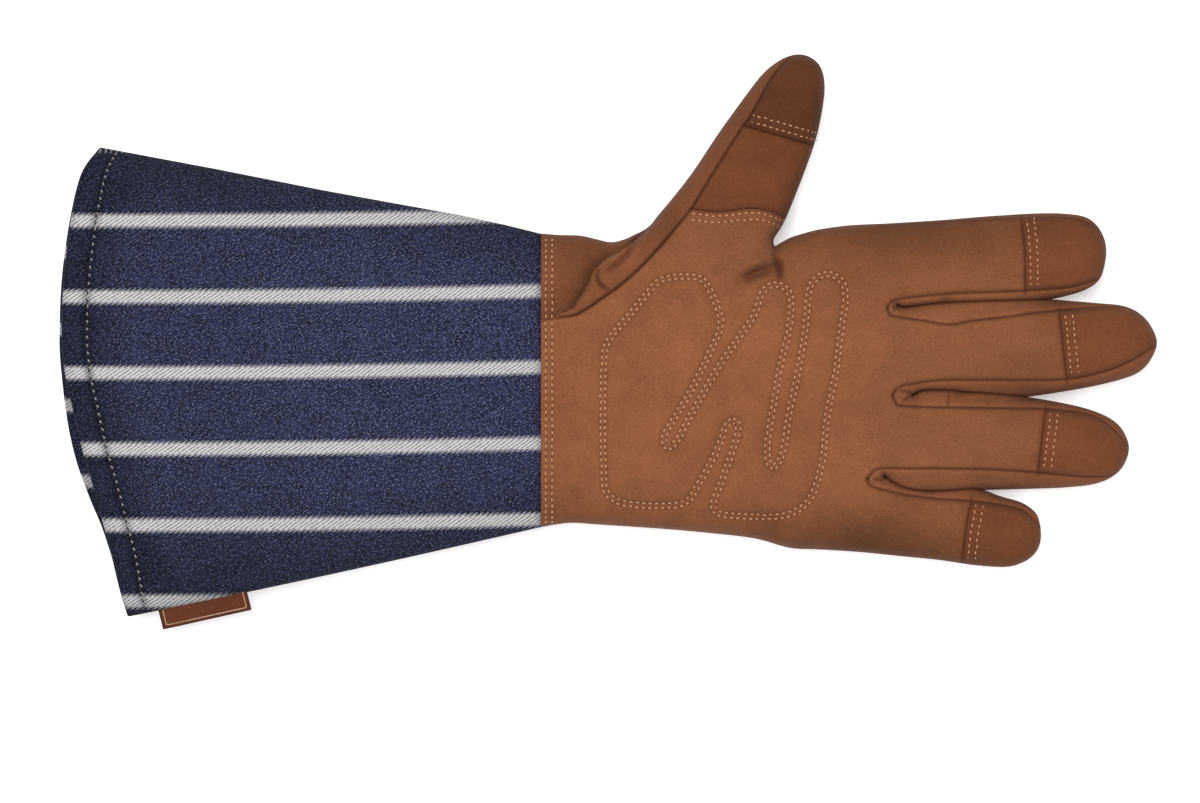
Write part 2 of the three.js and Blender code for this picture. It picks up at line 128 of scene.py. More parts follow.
# The quilted pad's outline, midway between its two rows of stitches
PAD = [
    (19.2, -33.1), (18.8, -15.3), (19.2, 6.2), (20.6, 13.4), (27.3, 21.8), (34.6, 30.5),
    (38.9, 34.9), (46.0, 36.2), (53.1, 35.6), (56.5, 31.2), (60.2, 20.3), (56.7, 10.5),
    (49.6, -3.9), (44.8, -11.9), (40.3, -19.6), (41.4, -23.6), (44.3, -22.0), (49.6, -12.4),
    (58.1, 2.6), (65.3, 13.3), (71.8, 22.6), (74.6, 30.6), (79.5, 33.6), (84.6, 29.4),
    (83.8, 16.8), (80.9, 4.7), (78.1, -11.7), (76.6, -20.6), (76.5, -27.9), (78.9, -30.5),
    (81.9, -25.0), (83.9, -12.4), (86.7, 0.4), (89.6, 16.8), (90.7, 28.4), (92.2, 34.2),
    (96.9, 37.2), (102.2, 35.0), (103.8, 29.0), (102.4, 18.3), (100.3, 2.6), (97.3, -13.1),
    (95.7, -28.0), (91.9, -40.6), (86.0, -46.1), (78.8, -47.8), (65.3, -47.5), (59.0, -46.6),
    (57.5, -43.1), (60.2, -36.1), (63.1, -28.0), (66.2, -17.9), (65.1, -14.0), (62.2, -15.5),
    (60.2, -21.0), (56.7, -28.8), (51.7, -37.5), (48.2, -42.6), (41.7, -43.9), (32.4, -43.8),
    (23.8, -42.4), (19.9, -38.6),
]
# The cuff: its mouth on the upper and the lower layer, and its tab
MOUTH_FRONT = [
    (-158.2, 81.5), (-164.1, 72.8), (-167.6, 56.7), (-170.1, 36.8), (-171.0, 17.5),
    (-170.1, 4.2), (-167.8, -7.0), (-163.8, -24.1), (-159.9, -37.4), (-156.3, -50.8),
    (-152.9, -63.7), (-150.1, -76.3), (-148.2, -82.8),
]
MOUTH_BACK = [
    (-158.2, 81.5), (-164.1, 72.8), (-168.0, 56.7), (-170.8, 36.8), (-171.7, 17.5),
    (-171.3, 5.2), (-169.0, -14.0), (-165.9, -28.0), (-161.3, -40.9), (-156.8, -51.8),
    (-153.3, -63.0), (-150.8, -73.5), (-148.2, -82.8),
]
TAB = [(-136.6, -80.6), (-135.0, -87.2), (-104.2, -80.3), (-105.7, -74.4)]

# The camera looks straight down, and the outlines were traced at one height
PHOTO_SCALE = 0.35   # millimetres that one pixel of the photograph shows
PHOTO_WIDTH = 1200
CAMERA_AT = (17.85, -7.5)
LENS = 85.0
SENSOR = 36.0
TRACED_AT = 14.0
CAMERA_HEIGHT = PHOTO_WIDTH * PHOTO_SCALE * LENS / SENSOR + TRACED_AT

# Heights, in millimetres
EDGE = 8.0           # the hand's outline above the floor
CROWN = 15.0         # a wide part's rise above its outline
CROWN_REACH = 15.0   # how far in from the outline it takes to rise
FLOOR_LIFT = 0.6     # underside of the back, above the floor
UNDER_REACH = 4.2    # how far in from the outline the underside comes down
RESTING = 10.0       # how far in it rests on the floor
DENIM = 1.1          # thickness of the cuff's cloth
OVER_DENIM = 1.3     # how far the leather lies outside the cuff at the wrist

# Places and spacings in plan
WRIST = -2.8         # the leather's edge, on x
WRIST_REACH = 26.0   # how far from the wrist the hand goes over into the cuff's section
FINE = 0.95          # spacing of the vertices on the palm's side
PLAIN = 1.5          # their spacing on the underside
STEP = 0.9           # spacing of the points along a line
CELL = 0.9           # spacing of the grid that the hand's fullness is worked out on


def smooth(points, step=STEP, closed=False):
    """A smooth curve through a few points, as a line of evenly spaced ones."""
    p = np.array(points, float)
    ends = (p[-1], p[0], p[1]) if closed else (2 * p[0] - p[1], 2 * p[-1] - p[-2])
    padded = np.vstack([ends[0], p, *ends[1:]])
    out = []
    for k in range(1, len(padded) - 2):
        a, b, c, d = padded[k - 1:k + 3]
        t = np.linspace(0, 1, max(2, int(np.linalg.norm(c - b) / 0.3)), endpoint=False)[:, None]
        out.append(0.5 * (2 * b + (c - a) * t + (2 * a - 5 * b + 4 * c - d) * t ** 2
                          + (3 * b - a - 3 * c + d) * t ** 3))
    out.append(padded[-2][None])
    return evenly(np.vstack(out), step)


def evenly(line, step):
    """The same line with points at one spacing."""
    way = np.concatenate([[0], np.cumsum(np.linalg.norm(np.diff(line, axis=0), axis=1))])
    at = np.linspace(0, way[-1], max(2, round(way[-1] / step) + 1))
    return np.column_stack([np.interp(at, way, line[:, k]) for k in range(line.shape[1])])


def beside(line, offset):
    """A line moved sideways, to its left."""
    ahead = np.gradient(line, axis=0)
    ahead /= np.linalg.norm(ahead, axis=1)[:, None]
    return line + offset * np.column_stack([-ahead[:, 1], ahead[:, 0]])


def nearest(points, line, reach):
    """Each point's distance to a line, way along it, side (left is +) and foot on it, within a reach."""
    gap = np.full(len(points), 1e3)
    along = np.zeros(len(points))
    side = np.zeros(len(points))
    foot = np.zeros_like(points)
    low = line.min(axis=0) - reach
    high = line.max(axis=0) + reach
    close = np.nonzero(np.all((points > low) & (points < high), axis=1))[0]
    spot = points[close]
    way = 0.0
    best = np.full(len(close), 1e3)
    for a, b in zip(line[:-1], line[1:]):
        span = b - a
        length = np.hypot(*span)
        near = np.nonzero((np.abs(spot - a) < reach + length).all(axis=1))[0]
        rel = spot[near] - a
        t = np.clip(rel @ span / length ** 2, 0, 1)
        off = rel - t[:, None] * span
        d = np.hypot(off[:, 0], off[:, 1])
        new = d < best[near]
        pick = near[new]
        best[pick] = d[new]
        gap[close[pick]] = d[new]
        along[close[pick]] = way + t[new] * length
        side[close[pick]] = np.sign(span[0] * rel[new, 1] - span[1] * rel[new, 0])
        foot[close[pick]] = a + t[new, None] * span
        way += length
    return gap, along, side, foot


def close_to(points, line, width, row=0.0):
    """1 on a line, or on rows at both sides of it, falling away over a width."""
    return np.exp(-((nearest(points, line, 4)[0] - row) / width) ** 2)


def inside(points, polygon):
    """Which points lie inside a closed outline."""
    x, y = points[:, 0], points[:, 1]
    hit = np.zeros(len(points), bool)
    for (x0, y0), (x1, y1) in zip(polygon, np.roll(polygon, -1, axis=0)):
        if y0 == y1:
            continue
        hit ^= ((y0 > y) != (y1 > y)) & (x < (x1 - x0) * (y - y0) / (y1 - y0) + x0)
    return hit


def ease(value, start, end):
    """0 before start, 1 after end, smooth between them."""
    t = np.clip((value - start) / (end - start), 0, 1)
    return t * t * (3 - 2 * t)


HAND = [smooth(part) for part in (THUMB_OUTLINE, INDEX_OUTLINE, MIDDLE_OUTLINE, RING_OUTLINE,
                                  LITTLE_OUTLINE)]
HAND_LINE = np.vstack([HAND[0]] + [part[1:] for part in HAND[1:]])
SLITS = [smooth(slit) for slit in (SLIT_INDEX_MIDDLE, SLIT_MIDDLE_RING, SLIT_RING_LITTLE)]
FINGER_SEAMS = [smooth(seam, 0.6) for seam in (SEAM_INDEX, SEAM_MIDDLE_UPPER, SEAM_MIDDLE_LOWER,
                                               SEAM_RING_UPPER, SEAM_RING_LOWER, SEAM_LITTLE)]
THUMB_LINE = smooth(THUMB_SEAM)
ROLL_LINE = smooth(ROLL_EDGE)
INDEX_TOP_LINE = smooth(INDEX_TOP_SEAM)
PATCH_LINES = {"index": smooth(PATCH_INDEX), "middle": smooth(PATCH_MIDDLE), "ring": smooth(PATCH_RING),
               "little": smooth(PATCH_LITTLE), "thumb": smooth(PATCH_THUMB)}
BASE_LINE = smooth(THUMB_BASE)
LAID_EDGES = list(PATCH_LINES.values()) + [BASE_LINE]
PAD_LINE = smooth(PAD, closed=True)


# Fullness of the hand
SKIN_START = -45.0   # the skin runs on this far past the wrist
SLIT_HALF = 0.7      # half the width that a gap between fingers takes from it
ROUNDS = 420         # rounds of settling, each with an overshoot
OVERSHOOT = 1.94
HOLD = 2.4           # within this of an outline, fullness falls evenly to nothing


def blown_skin():
    """A skin blown up from the hand's outline and held down where fingers touch, on a grid."""
    ends = np.array([[SKIN_START, HAND_LINE[-1, 1]], [SKIN_START, HAND_LINE[0, 1]]])
    domain = np.vstack([HAND_LINE, ends])
    low = domain.min(axis=0) - 2 * CELL
    size = np.ceil((domain.max(axis=0) - low) / CELL + 3).astype(int)
    gx, gy = np.meshgrid(np.arange(size[0]), np.arange(size[1]), indexing="ij")
    at = low + CELL * np.column_stack([gx.ravel(), gy.ravel()])
    free = inside(at, domain)
    for slit in SLITS:
        free &= nearest(at, slit, 3)[0] > SLIT_HALF
    free = free.reshape(size)
    red = (gx + gy) % 2 == 0
    skin = np.zeros(size)
    for _ in range(ROUNDS):
        for colour in (red, ~red):
            around = np.zeros(size)
            around[1:-1, 1:-1] = (skin[:-2, 1:-1] + skin[2:, 1:-1] + skin[1:-1, :-2] + skin[1:-1, 2:]
                                  + CELL ** 2) / 4
            skin = np.where(free & colour, skin + OVERSHOOT * (around - skin), skin)
    return low, skin


SKIN_LOW, SKIN = blown_skin()


def skin_at(points):
    """The blown skin's value at points, straight between its grid's."""
    g = np.clip((points - SKIN_LOW) / CELL, 0, np.array(SKIN.shape) - 1.001)
    i = g.astype(int)
    f = g - i
    near, far = (SKIN[i[:, 0], i[:, 1] + k] * (1 - f[:, 0]) + SKIN[i[:, 0] + 1, i[:, 1] + k] * f[:, 0]
                 for k in (0, 1))
    return near * (1 - f[:, 1]) + far * f[:, 1]


def fullness(points):
    """How deep each point lies in the hand: half the width across a long finger's middle."""
    value = skin_at(points)
    gap = np.full(len(points), 1e3)
    foot = np.zeros_like(points)
    for line in [HAND_LINE] + SLITS:
        d, _, _, f = nearest(points, line, HOLD)
        new = d < gap
        gap[new] = d[new]
        foot[new] = f[new]
    edge = gap < HOLD
    away = points[edge] - foot[edge]
    far = np.hypot(away[:, 0], away[:, 1])[:, None]
    held = skin_at(foot[edge] + away / np.maximum(far, 1e-6) * HOLD) * gap[edge] / HOLD
    value[edge] = np.where(far[:, 0] < 1e-4, 0, held)
    return np.sqrt(2 * np.maximum(value, 0))


# The cuff's two layers, from the wrist (way 0) to the mouth (way 1), across from -1 to 1
WRIST_THUMB = np.array([-0.3, 50.6])
WRIST_LITTLE = np.array([-0.3, -50.9])
CUFF_RUN = 165.0     # the cuff's length past the wrist
LAP = 5.0            # denim inside the leather
MOUTH_TOP = 33.5
WRIST_TOP = 21.0
MOUTH_EDGE = 13.0
RIM = 1.1            # how far the folded hem bulges past the cloth's end
FRONT_LINE = evenly(smooth(MOUTH_FRONT), 0.5) + [RIM, 0]
BACK_LINE = evenly(smooth(MOUTH_BACK), 0.5) + [RIM, 0]


def across_line(line, across):
    """The point of a mouth's line at a place across it, from its thumb end (1) to its other (-1)."""
    at = (1 - across) / 2 * (len(line) - 1)
    i = np.clip(at.astype(int), 0, len(line) - 2)
    f = (at - i)[:, None]
    return line[i] * (1 - f) + line[i + 1] * f


def cuff_heights(way, across):
    """Height of the upper and of the lower layer's outside."""
    edge = EDGE - 0.6 + (MOUTH_EDGE - EDGE) * way
    top = WRIST_TOP + (MOUTH_TOP - WRIST_TOP) * way ** 0.9
    level = np.abs(across)
    upper = edge + (top - edge) * (1 - level ** 2.5) ** 0.55
    lower = edge - (edge - FLOOR_LIFT) * np.minimum(1, 1.12 * (1 - level ** 3.2) ** 0.5)
    return upper, lower


def wrist_section(points):
    """Heights of the leather's upper and lower side where it goes round the cuff."""
    way = np.clip(-points[:, 0] / CUFF_RUN, 0, 1)
    middle = (HAND_LINE[0, 1] + HAND_LINE[-1, 1]) / 2
    half = np.interp(points[:, 0], [-2.8, 7, 21, 30], [51.2, 50.5, 50.0, 52.0])
    upper, lower = cuff_heights(way, np.clip((points[:, 1] - middle) / half, -1, 1))
    return upper + OVER_DENIM, lower


# Dents and folds on the palm's side: a line, its depth and its width
CREASES = [
    ([(79.3, 46.0), (80.0, 40.5), (81.0, 36.0)], 1.5, 1.6),
    ([(80.5, 40.6), (76.6, 38.6), (71.6, 37.0), (66.5, 34.6)], 2.4, 1.6),
    ([(67.5, 39.8), (73.0, 42.0), (78.4, 44.4)], -1.3, 1.5),
    ([(79.5, 46.5), (75.0, 50.5), (69.0, 52.0)], 0.8, 2.2),
    ([(83.0, 46.0), (90.0, 40.5), (99.0, 38.0)], 0.5, 3.5),
    ([(74.0, -46.0), (72.5, -52.0), (76.0, -56.0)], 0.7, 1.8),
    ([(84.0, -48.0), (80.0, -53.5), (79.0, -57.5)], 0.6, 2.4),
    ([(118.0, -33.5), (108.0, -34.0), (100.0, -32.0)], 0.5, 3.0),
    ([(122.0, -5.0), (113.0, -5.5), (106.0, -4.0)], 0.5, 3.0),
    ([(118.0, 26.0), (109.0, 26.5), (101.0, 28.0)], 0.5, 3.0),
    ([(46.0, 66.0), (53.0, 82.0), (62.0, 98.0)], 0.5, 2.5),
    ([(70.0, 84.0), (74.0, 76.0), (73.0, 68.0)], 0.5, 4.0),
    ([(130.0, 40.0), (138.0, 41.0), (146.0, 40.0)], 0.4, 6.0),
    ([(150.0, 8.0), (156.0, 12.0), (160.0, 18.0)], 0.45, 4.0),
    ([(136.0, -22.0), (143.0, -20.0), (150.0, -23.0)], 0.4, 4.0),
]
# Short deep ones: round the crotches, across a side strip, and where the thumb's roll ends
GROOVES = [
    ([(123.1, -3.4), (125.6, -4.2), (126.7, -5.3), (124.2, -7.0)], 0.9, 0.5),
    ([(113.9, -34.6), (116.7, -34.9), (117.2, -33.5)], 0.9, 0.5),
    ([(120.2, 25.6), (121.6, 25.0), (122.3, 25.9)], 0.7, 0.45),
    ([(140.1, -3.8), (139.6, -9.3)], 0.4, 0.35),
    ([(16.8, 38.4), (17.0, 35.5), (18.3, 33.2), (20.9, 31.6)], 1.6, 0.7),
    ([(40.0, 59.5), (31.6, 49.9), (26.9, 43.5), (21.0, 38.6)], 2.2, 1.1),
    ([(78.9, 45.2), (79.8, 41.2), (80.7, 37.8), (81.0, 35.6)], 1.4, 0.9),
    ([(80.6, 40.2), (77.0, 39.3), (73.0, 38.0), (69.0, 36.2)], 0.8, 1.5),
]
CREASE_LINES = [(smooth(path), depth, width) for path, depth, width in CREASES]
GROOVE_LINES = [(smooth(path, 0.4), depth, width) for path, depth, width in GROOVES]
PAD_ROWS = 0.78      # half the distance between the pad's two rows
PAD_RISE = 1.5


def quilting(points):
    """The pad's rise inside its outline, and the sunk rows that hold it."""
    gap = nearest(points, PAD_LINE, 9)[0]
    within = inside(points, PAD_LINE)
    signed = np.where(within, gap, -gap)
    rise = np.where(within, PAD_RISE * (1 - np.exp(-np.maximum(gap - 0.6, 0) / 2.6)), 0)
    rise += np.where(within, 0, 0.35 * np.exp(-((gap - 3.2) / 2.2) ** 2))
    for row in (-PAD_ROWS, PAD_ROWS):
        rise -= 0.55 * np.exp(-((signed - row) / 0.5) ** 2)
    return rise


def seam_dips(points):
    """Grooves at the seams, with the small puckers that their stitches pull."""
    dip = np.zeros(len(points))
    for seam in FINGER_SEAMS + [THUMB_LINE]:
        gap, along, _, _ = nearest(points, seam, 6)
        dip -= 0.8 * np.exp(-(gap / 0.4) ** 2)
        dip += 0.3 * np.exp(-((gap - 1.5) / 1.1) ** 2) * (1 + 0.4 * np.sin(along * 1.35))
    dip -= 0.5 * close_to(points, INDEX_TOP_LINE, 0.5)
    return dip * ease(points[:, 0], -1.5, 6)


def rolled_strip(points):
    """The thumb's side strip, rolled over at the wrist: full at its seam, with a drop at its free edge."""
    gap, along, side, _ = nearest(points, ROLL_LINE, 30)
    seam_gap, _, seam_side, _ = nearest(points, THUMB_LINE, 30)
    length = STEP * len(ROLL_LINE)
    fade = ease(along, 0, 8) * (1 - ease(along, length - 14, length))
    share = gap / np.maximum(gap + seam_gap, 1e-3)
    full = 3.0 * (1 - np.exp(-gap / 0.9)) * np.clip(1 - share, 0, 1) ** 0.45
    strip = (side > 0) & (seam_side > 0) & (gap < 30)
    outer = (side < 0) & (gap > 0.05) & (gap < 30)
    return np.where(strip, full * fade, np.where(outer, -3.2 * np.exp(-gap / 6) * fade, 0))


def touching(points):
    """Fingers that touch lean on each other, so the gap between them isn't as deep as an outline."""
    rise = np.zeros(len(points))
    for slit in SLITS:
        gap, along, _, _ = nearest(points, slit, 8)
        rise += 2.6 * np.exp(-gap / 1.2) * ease(along, 0, 7) * (gap < 8)
    return rise


def upper_side(points):
    """Height of the leather's upper side, with all its folds."""
    depth = fullness(points)
    height = EDGE + CROWN * (1 - np.exp(-depth / CROWN_REACH))
    section, _ = wrist_section(points)
    to_wrist = 1 - ease(points[:, 0], 0, WRIST_REACH)
    height = height * (1 - to_wrist) + section * to_wrist
    x, y = points[:, 0], points[:, 1]
    sway = 0.42 * np.sin(x / 11.3 + 0.7 * np.sin(y / 9.1)) * np.sin(y / 7.9 + 1.3)
    sway += 0.24 * np.sin(x / 5.7 - y / 8.3) * np.sin(y / 12.1)
    height += sway * ease(depth, 3, 12)
    for line, deep, wide in CREASE_LINES + GROOVE_LINES:
        gap, along, _, _ = nearest(points, line, 3 * wide)
        run = np.clip(along / max(along.max(), 1e-3), 0, 1)
        height -= deep * np.exp(-(gap / wide) ** 2) * np.sin(math.pi * (0.12 + 0.76 * run))
        height += 0.12 * deep * np.exp(-((gap - 1.8 * wide) / wide) ** 2) * (gap < 3 * wide)
    return height + quilting(points) + seam_dips(points) + rolled_strip(points) + touching(points)


def lower_side(points):
    """Height of the leather's underside, flat where it rests."""
    depth = fullness(points)
    down = (1 - np.exp(-depth / UNDER_REACH)) / (1 - math.exp(-RESTING / UNDER_REACH))
    height = np.maximum(EDGE - (EDGE - FLOOR_LIFT) * down, FLOOR_LIFT)
    _, section = wrist_section(points)
    to_wrist = 1 - ease(points[:, 0], 0, WRIST_REACH)
    return height * (1 - to_wrist) + section * to_wrist


# Panels in plan, cut from one layer of triangles
ROW_RISE = 0.866     # rows of even-sided triangles, by their side
APART = 0.3          # cells in which only one loose point is kept
TOO_CLOSE = 0.2      # a loose point this near to a line's own is dropped
CHUNKS = 24          # shares in which the points are compared, to spare memory


def triangles(outline, lines, step):
    """Points and triangles that fill an outline and keep to every line."""
    low, high = outline.min(axis=0), outline.max(axis=0)
    grid = []
    for k, y in enumerate(np.arange(low[1], high[1], step * ROW_RISE)):
        x = np.arange(low[0] + (k % 2) * step / 2, high[0], step)
        grid.append(np.column_stack([x, np.full(len(x), y)]))
    grid = np.vstack(grid)
    grid = grid[inside(grid, outline)]
    keep = nearest(grid, np.vstack([outline, outline[:1]]), 2)[0] > 0.55 * step
    points = [outline]
    edges = [(k, (k + 1) % len(outline)) for k in range(len(outline))]
    count = len(outline)
    loose = []
    for line, rows in lines:
        keep &= nearest(grid, line, 3)[0] > (0.7 * step if not rows else max(rows) + 0.5 * step)
        points.append(line)
        edges += [(count + k, count + k + 1) for k in range(len(line) - 1)]
        count += len(line)
        loose += [beside(line, sign * row) for row in rows for sign in (-1, 1)]
    loose = np.vstack(loose + [grid[keep]])
    _, first = np.unique(np.round(loose / APART).astype(int), axis=0, return_index=True)
    loose = loose[np.sort(first)]
    fixed = np.vstack(points)
    near = np.zeros(len(loose), bool)
    for chunk in np.array_split(np.arange(len(loose)), CHUNKS):
        off = loose[chunk][:, None] - fixed[None]
        near[chunk] = (off ** 2).sum(axis=2).min(axis=1) < TOO_CLOSE ** 2
    points.append(loose[~near])
    verts, _, faces, *_ = delaunay_2d_cdt([tuple(p) for p in np.vstack(points)], edges, [], 0, 1e-4)
    verts = np.array([tuple(v) for v in verts])
    faces = np.array([f for f in faces if len(f) == 3])
    middle = verts[faces].mean(axis=1)
    return verts, faces[inside(middle, outline)]


def true_place(verts):
    """Traced places show where a point is seen from the camera, so they draw in as the point rises."""
    verts = np.array(verts, float)
    nearer = (CAMERA_HEIGHT - verts[:, 2:]) / (CAMERA_HEIGHT - TRACED_AT)
    verts[:, :2] = CAMERA_AT + (verts[:, :2] - CAMERA_AT) * nearer
    return verts


def piece(name, verts, faces):
    """A smooth mesh object from traced vertices in millimetres, riding with the glove."""
    mesh = bpy.data.meshes.new(name)
    mesh.from_pydata((true_place(verts) * MM).tolist(), [], [list(map(int, f)) for f in faces])
    mesh.shade_smooth()
    thing = bpy.data.objects.new(name, mesh)
    bpy.context.scene.collection.objects.link(thing)
    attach(thing, "root")
    return thing


def only(verts, faces):
    """The vertices that some faces use, and the faces by their new numbers."""
    used, number = np.unique(faces.ravel(), return_inverse=True)
    return verts[used], number.reshape(faces.shape)


def walls(verts, faces, lines, depth):
    """Cut edges: a strip down from each open edge that lies on one of the lines."""
    ends = np.vstack([faces[:, [0, 1]], faces[:, [1, 2]], faces[:, [2, 0]]])
    key = np.sort(ends, axis=1)
    _, first, times = np.unique(key, axis=0, return_index=True, return_counts=True)
    open_ends = ends[first[times == 1]]
    middle = verts[open_ends].mean(axis=1)[:, :2]
    on_line = np.zeros(len(middle), bool)
    for line in lines:
        on_line |= nearest(middle, line, 1)[0] < 0.12
    ends = open_ends[on_line]
    if not len(ends):
        return verts, faces
    used, number = np.unique(ends.ravel(), return_inverse=True)
    number = number.reshape(ends.shape) + len(verts)
    lowered = verts[used] - np.array([0, 0, depth])
    a, b = ends[:, 0], ends[:, 1]
    c, d = number[:, 0], number[:, 1]
    strip = np.vstack([np.column_stack([b, a, c]), np.column_stack([b, c, d])])
    return np.vstack([verts, lowered]), np.vstack([faces, strip])


# Areas in plan that the pieces are told apart by
OUT = 240.0          # past every fingertip
FRONT = np.vstack([
    [[-9, THUMB_LINE[0, 1]]], THUMB_LINE, [[90, 140], [105, 110], [100, 62]], INDEX_TOP_LINE,
    [[OUT, 60], [OUT, 34]], FINGER_SEAMS[0][::-1], FINGER_SEAMS[1], [[OUT, 26], [OUT, 13]],
    FINGER_SEAMS[2][::-1], FINGER_SEAMS[3], [[OUT, -22], [OUT, -33]],
    FINGER_SEAMS[4][::-1], FINGER_SEAMS[5], [[OUT, -53], [OUT, -100], [-9, -100]]])
SEAM_FOOT = THUMB_LINE[THUMB_LINE[:, 0] < ROLL_LINE[-1, 0]]
WRIST_WRAP = np.vstack([[[-9, 75], [42, 75]], ROLL_LINE, SEAM_FOOT[::-1], [[-9, THUMB_LINE[0, 1]]]])
THUMB_ZONE = np.vstack([BASE_LINE[0] + [-12, 4], BASE_LINE, BASE_LINE[-1] + [12, -2],
                        [110, 140], [40, 130]])


def beyond(line, reach=60.0):
    """The area on the right of a patch's edge, out past the fingertip."""
    ahead = line[-1] - line[0]
    out = np.array([ahead[1], -ahead[0]]) / np.hypot(*ahead) * -reach
    first = line[0] - 6 * ahead / np.hypot(*ahead)
    last = line[-1] + 6 * ahead / np.hypot(*ahead)
    return np.vstack([first, line, last, last + out, first + out])


# Finishes
def node_group(name, inputs, outputs):
    """An empty group of shader nodes with named inputs and outputs."""
    group = bpy.data.node_groups.new(name, "ShaderNodeTree")
    for label, kind, value in inputs:
        socket = group.interface.new_socket(label, in_out="INPUT", socket_type=kind)
        if value is not None:
            socket.default_value = value
    for label, kind in outputs:
        group.interface.new_socket(label, in_out="OUTPUT", socket_type=kind)
    return group, group.nodes.new("NodeGroupInput"), group.nodes.new("NodeGroupOutput")


def feed(tree, source, target):
    """Link a socket, or set a plain value."""
    if isinstance(source, bpy.types.NodeSocket):
        tree.links.new(source, target)
    else:
        target.default_value = source


def noise(tree, vector, scale, detail=3.0, roughness=0.6):
    """Noise from 0 to 1 over a place in metres."""
    node = tree.nodes.new("ShaderNodeTexNoise")
    feed(tree, vector, node.inputs["Vector"])
    node.inputs["Scale"].default_value = scale
    node.inputs["Detail"].default_value = detail
    node.inputs["Roughness"].default_value = roughness
    return node.outputs["Fac"]


def math_node(tree, operation, a, b=0.0):
    """One step of arithmetic on values or sockets."""
    node = tree.nodes.new("ShaderNodeMath")
    node.operation = operation
    feed(tree, a, node.inputs[0])
    feed(tree, b, node.inputs[1])
    return node.outputs[0]


def swing(tree, value, size):
    """A value from 0 to 1 as one that swings about nothing."""
    return math_node(tree, "MULTIPLY", math_node(tree, "SUBTRACT", value, 0.5), size)


def ramp(tree, value, low, high, to_low=0.0, to_high=1.0):
    """A value's stretch from low to high, as another stretch."""
    node = tree.nodes.new("ShaderNodeMapRange")
    node.interpolation_type = "SMOOTHSTEP"
    for socket, number in zip(list(node.inputs)[:5], (value, low, high, to_low, to_high)):
        feed(tree, number, socket)
    return node.outputs["Result"]


def mixed(tree, factor, a, b, kind="MIX"):
    """Colour a going over into b by a factor."""
    node = tree.nodes.new("ShaderNodeMix")
    node.data_type = "RGBA"
    node.blend_type = kind
    feed(tree, factor, node.inputs["Factor"])
    feed(tree, a, node.inputs["A"])
    feed(tree, b, node.inputs["B"])
    return node.outputs["Result"]


def linear(red, green, blue):
    """A colour as linear light, from its values on a screen from 0 to 255."""
    def one(value):
        share = value / 255
        return share / 12.92 if share <= 0.04045 else ((share + 0.055) / 1.055) ** 2.4
    return (one(red), one(green), one(blue), 1.0)


def nap_group():
    """Brushed leather: fine nap and soft blotches, darkened by painted shade in seams and under edges, and
    by the Dim value of painted shade and highlight.
    """
    tree, given, out = node_group(
        "Brushed nap",
        [("Place", "NodeSocketVector", None), ("Colour", "NodeSocketColor", (0.3, 0.12, 0.05, 1)),
         ("Shade colour", "NodeSocketColor", (0.1, 0.04, 0.02, 1)), ("Seam", "NodeSocketFloat", 0.0),
         ("Dim", "NodeSocketFloat", 0.0)],
        [("Colour", "NodeSocketColor"), ("Height", "NodeSocketFloat"), ("Roughness", "NodeSocketFloat")])
    place = given.outputs["Place"]
    fine = noise(tree, place, 2000, 2)
    grain = noise(tree, place, 900, 3)
    shade = ramp(tree, noise(tree, place, 46, 3), 0.3, 0.7, 0.90, 1.07)
    for layer, depth in ((noise(tree, place, 180, 3), 0.03), (grain, 0.06), (fine, 0.12)):
        shade = math_node(tree, "ADD", shade, ramp(tree, layer, 0.3, 0.7, -depth, depth))
    # Painted shade from Dim darkens the nap's colour, and painted highlight lightens it where Dim is
    # negative
    shade = math_node(tree, "MULTIPLY", shade, math_node(tree, "SUBTRACT", 1.0, given.outputs["Dim"]))
    shaded = mixed(tree, 1.0, given.outputs["Colour"], shade, "MULTIPLY")
    # Painted shade: the colour goes over into its shade colour as the painted shade value rises
    darkened = mixed(tree, given.outputs["Seam"], shaded, given.outputs["Shade colour"])
    feed(tree, darkened, out.inputs["Colour"])
    feed(tree, math_node(tree, "ADD", math_node(tree, "MULTIPLY", grain, 0.6), fine), out.inputs["Height"])
    feed(tree, ramp(tree, grain, 0.2, 0.8, 0.86, 0.97), out.inputs["Roughness"])
    return tree


# The denim's weave, in millimetres: its stripes, and the slanting lines of its twill
STRIPE_CENTRE = 2.45
STRIPE_REPEAT = 26.65
STRIPE_WIDTH = 4.7
STRIPE_EDGE = 0.12
STRIPE_FRAY = 1.5
STRIPE_TEETH = 0.7   # how far the twill's lines notch a stripe's edges
TWILL_STEP = 1.28
TWILL_SLOPE = 0.67
TWILL_WANDER = 1.6
FAR_STRIPES = 100    # the stripes are counted from this many repeats away


